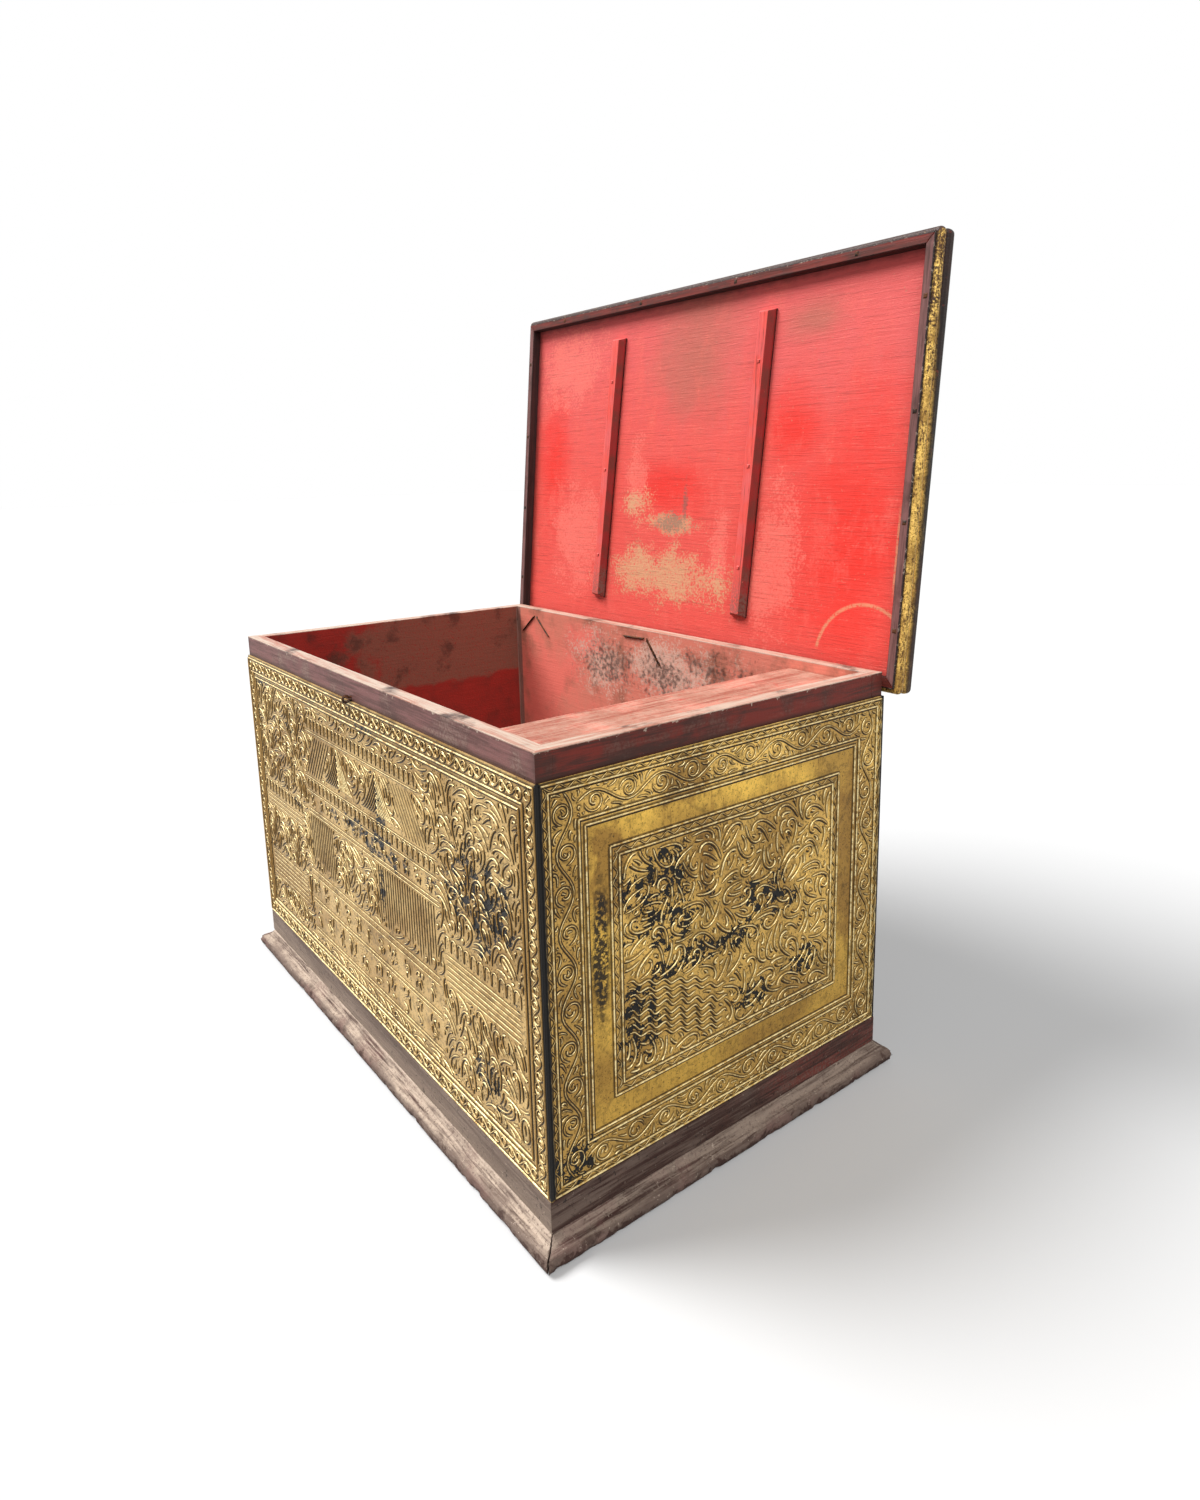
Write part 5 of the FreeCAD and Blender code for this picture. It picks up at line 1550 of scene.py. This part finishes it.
class CHEST_OT_front_relief(bpy.types.Operator):
    """Gild the front and lay its threads"""

    bl_idname = "chest.front_relief"
    bl_label = "Front relief"

    def execute(self, context):
        sizes = context.scene.chest_sizes
        step = sizes.thread_step
        outline = (FRONT_HALF, RELIEF_LOW, RELIEF_TOP)
        give(gilded_finish, "front_relief")
        rng = random.Random(FRONT_SEED)
        border = scroll_frame(*outline, FRONT_SCROLL_INSET, FRONT_SCROLL_WIDTH, FRONT_SCROLL_PITCH,
                              sizes.border_gap, step, rng)
        for inset in FRONT_LINES:
            border += line_frame(*outline, inset, step, EDGE_THICKNESS)
        lay_threads("front_border_threads", "front", border)
        field = Drawing(sizes.field_gap, step, rng, FRONT_FIELD_WEIGHT)
        self.draw_roof(field)
        self.draw_hall(field)
        self.draw_wings(field)
        field.fill(*field_corners(FRONT_HALF, FRONT_FIELD_INSET), HOOK_LENGTHS, math.pi / 2)
        for name, start, end in zip(("left", "middle", "right"), FRONT_THIRDS, FRONT_THIRDS[1:]):
            share = [line for line in field.strands if start <= line[0][0] < end]
            lay_threads("front_" + name + "_threads", "front", share)
        return {"FINISHED"}

    def draw_roof(self, field):
        """A parapet of arches over two gables, and tiles that slope on both sides."""
        field.lines(-0.20, 0.19, 0.468, 0.468, count=1)
        field.arches(-0.19, 0.18, 0.472, height=0.018, pitch=0.014)
        for x in (-0.075, 0.060):
            field.gables(x, 0.402, width=0.110, height=0.060)
        field.slope(-0.205, -0.150, 0.396, 0.462, lean=0.045, count=7)
        field.slope(0.150, 0.205, 0.396, 0.462, lean=-0.045, count=7)

    def draw_hall(self, field):
        """Rows under the eaves, posts, and a terrace with knots of curls."""
        field.lines(*HALL, 0.392, 0.392, count=1)
        field.arches(*HALL_ROW, 0.372, height=0.017, pitch=0.0155)
        field.lines(*HALL, 0.368, 0.368, count=1)
        field.lines(*HALL, 0.332, 0.338, count=2)
        field.posts(-0.205, -0.120, 0.236, 0.328, count=12)
        field.posts(0.050, 0.215, 0.236, 0.328, count=23)
        for low, high in ((0.222, 0.232), (0.176, 0.182), (0.124, 0.130)):
            field.lines(*TERRACE, low, high, count=2)
        field.knots_on_plain(*TERRACE, 0.134, 0.172, pitch=0.045)
        field.knots_on_plain(*TERRACE, 0.186, 0.218, pitch=0.040)
        field.knots_on_plain(*HALL_ROW, 0.342, 0.364, pitch=0.034)

    def draw_wings(self, field):
        """Steps and arches beside the hall."""
        field.lines(*RIGHT_WING, 0.238, 0.274, count=6)
        field.arches(*RIGHT_WING, 0.280, height=0.020, pitch=0.016)
        field.lines(*LEFT_WING, 0.160, 0.205, count=7)
        field.lines(*LEFT_WING, 0.296, 0.310, count=3)
        field.arches(*LEFT_WING, 0.316, height=0.020, pitch=0.016)


# The floor: its size in metres, how pale it is for bounced light and for the camera, and its glow
FLOOR_SIZE = 60
FLOOR_BOUNCE = (0.30, 0.30, 0.30)
FLOOR_SEEN = (0.60, 0.60, 0.60)
FLOOR_GLOW = 0.05


class CHEST_OT_stage(bpy.types.Operator):
    """Set the floor, the light and the camera"""

    bl_idname = "chest.stage"
    bl_label = "Stage"

    def execute(self, context):
        settings = context.scene.chest_stage
        self.lay_floor()
        self.light_room(context.scene, settings)
        self.set_sun("key", settings.key_from, settings.key_strength, settings.sun_spread)
        self.set_sun("side", settings.side_from, settings.side_strength, settings.sun_spread)
        self.set_camera(context.scene, settings)
        context.scene.view_settings.view_transform = "Standard"
        return {"FINISHED"}

    def seen(self, tree):
        """1 for what the camera sees, also by way of metal or glass."""
        path = tree.add("ShaderNodeLightPath", {}).outputs
        return tree.most(path["Is Camera Ray"], path["Is Glossy Ray"], path["Is Transmission Ray"])

    def lay_floor(self):
        deselect()
        bpy.ops.mesh.primitive_plane_add(size=FLOOR_SIZE)
        floor = bpy.context.object
        floor.name = "floor"
        paper = bpy.data.materials.new("paper_floor")
        paper.use_nodes = True
        tree = Tree(paper.node_tree)
        seen = self.seen(tree)
        shade = tree.mix(seen, FLOOR_BOUNCE, FLOOR_SEEN)
        matt = tree.add("ShaderNodeBsdfDiffuse", {"Color": shade})
        glow = tree.add("ShaderNodeEmission", {"Strength": tree.all(seen, FLOOR_GLOW)})
        both = tree.add("ShaderNodeAddShader", {0: matt.outputs[0], 1: glow.outputs[0]})
        output = tree.add("ShaderNodeOutputMaterial", {})
        tree.put(output.inputs["Surface"], both.outputs[0])
        floor.data.materials.append(paper)

    def light_room(self, scene, settings):
        world = bpy.data.worlds.new("studio")
        world.use_nodes = True
        tree = Tree(world.node_tree)
        strength = tree.blend(self.seen(tree), settings.sky, 1.0)
        sky = tree.add("ShaderNodeBackground", {"Color": (1, 1, 1, 1), "Strength": strength})
        output = tree.add("ShaderNodeOutputWorld", {})
        tree.put(output.inputs["Surface"], sky.outputs[0])
        scene.world = world

    def set_sun(self, name, origin, strength, spread):
        lamp = bpy.data.lights.new(name, "SUN")
        lamp.energy = strength
        lamp.angle = spread
        piece = bpy.data.objects.new(name, lamp)
        bpy.context.scene.collection.objects.link(piece)
        piece.rotation_euler = (-Vector(origin)).to_track_quat("-Z", "Y").to_euler()

    def set_camera(self, scene, settings):
        camera = bpy.data.cameras.new("camera")
        camera.lens = settings.lens
        camera.shift_x, camera.shift_y = settings.shift
        piece = bpy.data.objects.new("camera", camera)
        scene.collection.objects.link(piece)
        look = Vector(settings.camera_look).normalized()
        right = look.cross(Vector((0, 0, 1))).normalized()
        level = Matrix((right, right.cross(look), -look)).transposed()
        roll = Matrix.Rotation(settings.camera_roll, 3, "Z")
        piece.matrix_world = Matrix.Translation(settings.camera_place) @ (level @ roll).to_4x4()
        scene.camera = piece


class VIEW3D_PT_chest(bpy.types.Panel):
    """Lists the steps that dress the chest"""

    bl_label = "Manuscript chest"
    bl_space_type = "VIEW_3D"
    bl_region_type = "UI"
    bl_category = "Chest"

    def draw(self, context):
        for operator in OPERATORS:
            self.layout.operator(operator.bl_idname)


OPERATORS = (
    CHEST_OT_carcase, CHEST_OT_till_lid, CHEST_OT_lid, CHEST_OT_ironwork, CHEST_OT_base_bands,
    CHEST_OT_plinth, CHEST_OT_end_relief, CHEST_OT_front_relief, CHEST_OT_stage,
)
GROUPS = {"chest_sizes": ChestSizes, "chest_colours": ChestColours, "chest_stage": ChestStage}


def register():
    for group in GROUPS.values():
        bpy.utils.register_class(group)
    for operator in OPERATORS:
        bpy.utils.register_class(operator)
    bpy.utils.register_class(VIEW3D_PT_chest)
    for name, group in GROUPS.items():
        setattr(bpy.types.Scene, name, bpy.props.PointerProperty(type=group))


def unregister():
    for name in GROUPS:
        delattr(bpy.types.Scene, name)
    for kind in (VIEW3D_PT_chest, *OPERATORS, *GROUPS.values()):
        bpy.utils.unregister_class(kind)


def main():
    register()
    bpy.ops.chest.carcase()
    bpy.ops.chest.till_lid()
    bpy.ops.chest.lid()
    bpy.ops.chest.ironwork()
    bpy.ops.chest.base_bands()
    bpy.ops.chest.plinth()
    bpy.ops.chest.end_relief()
    bpy.ops.chest.front_relief()
    bpy.ops.chest.stage()


if __name__ == "__main__":
    main()
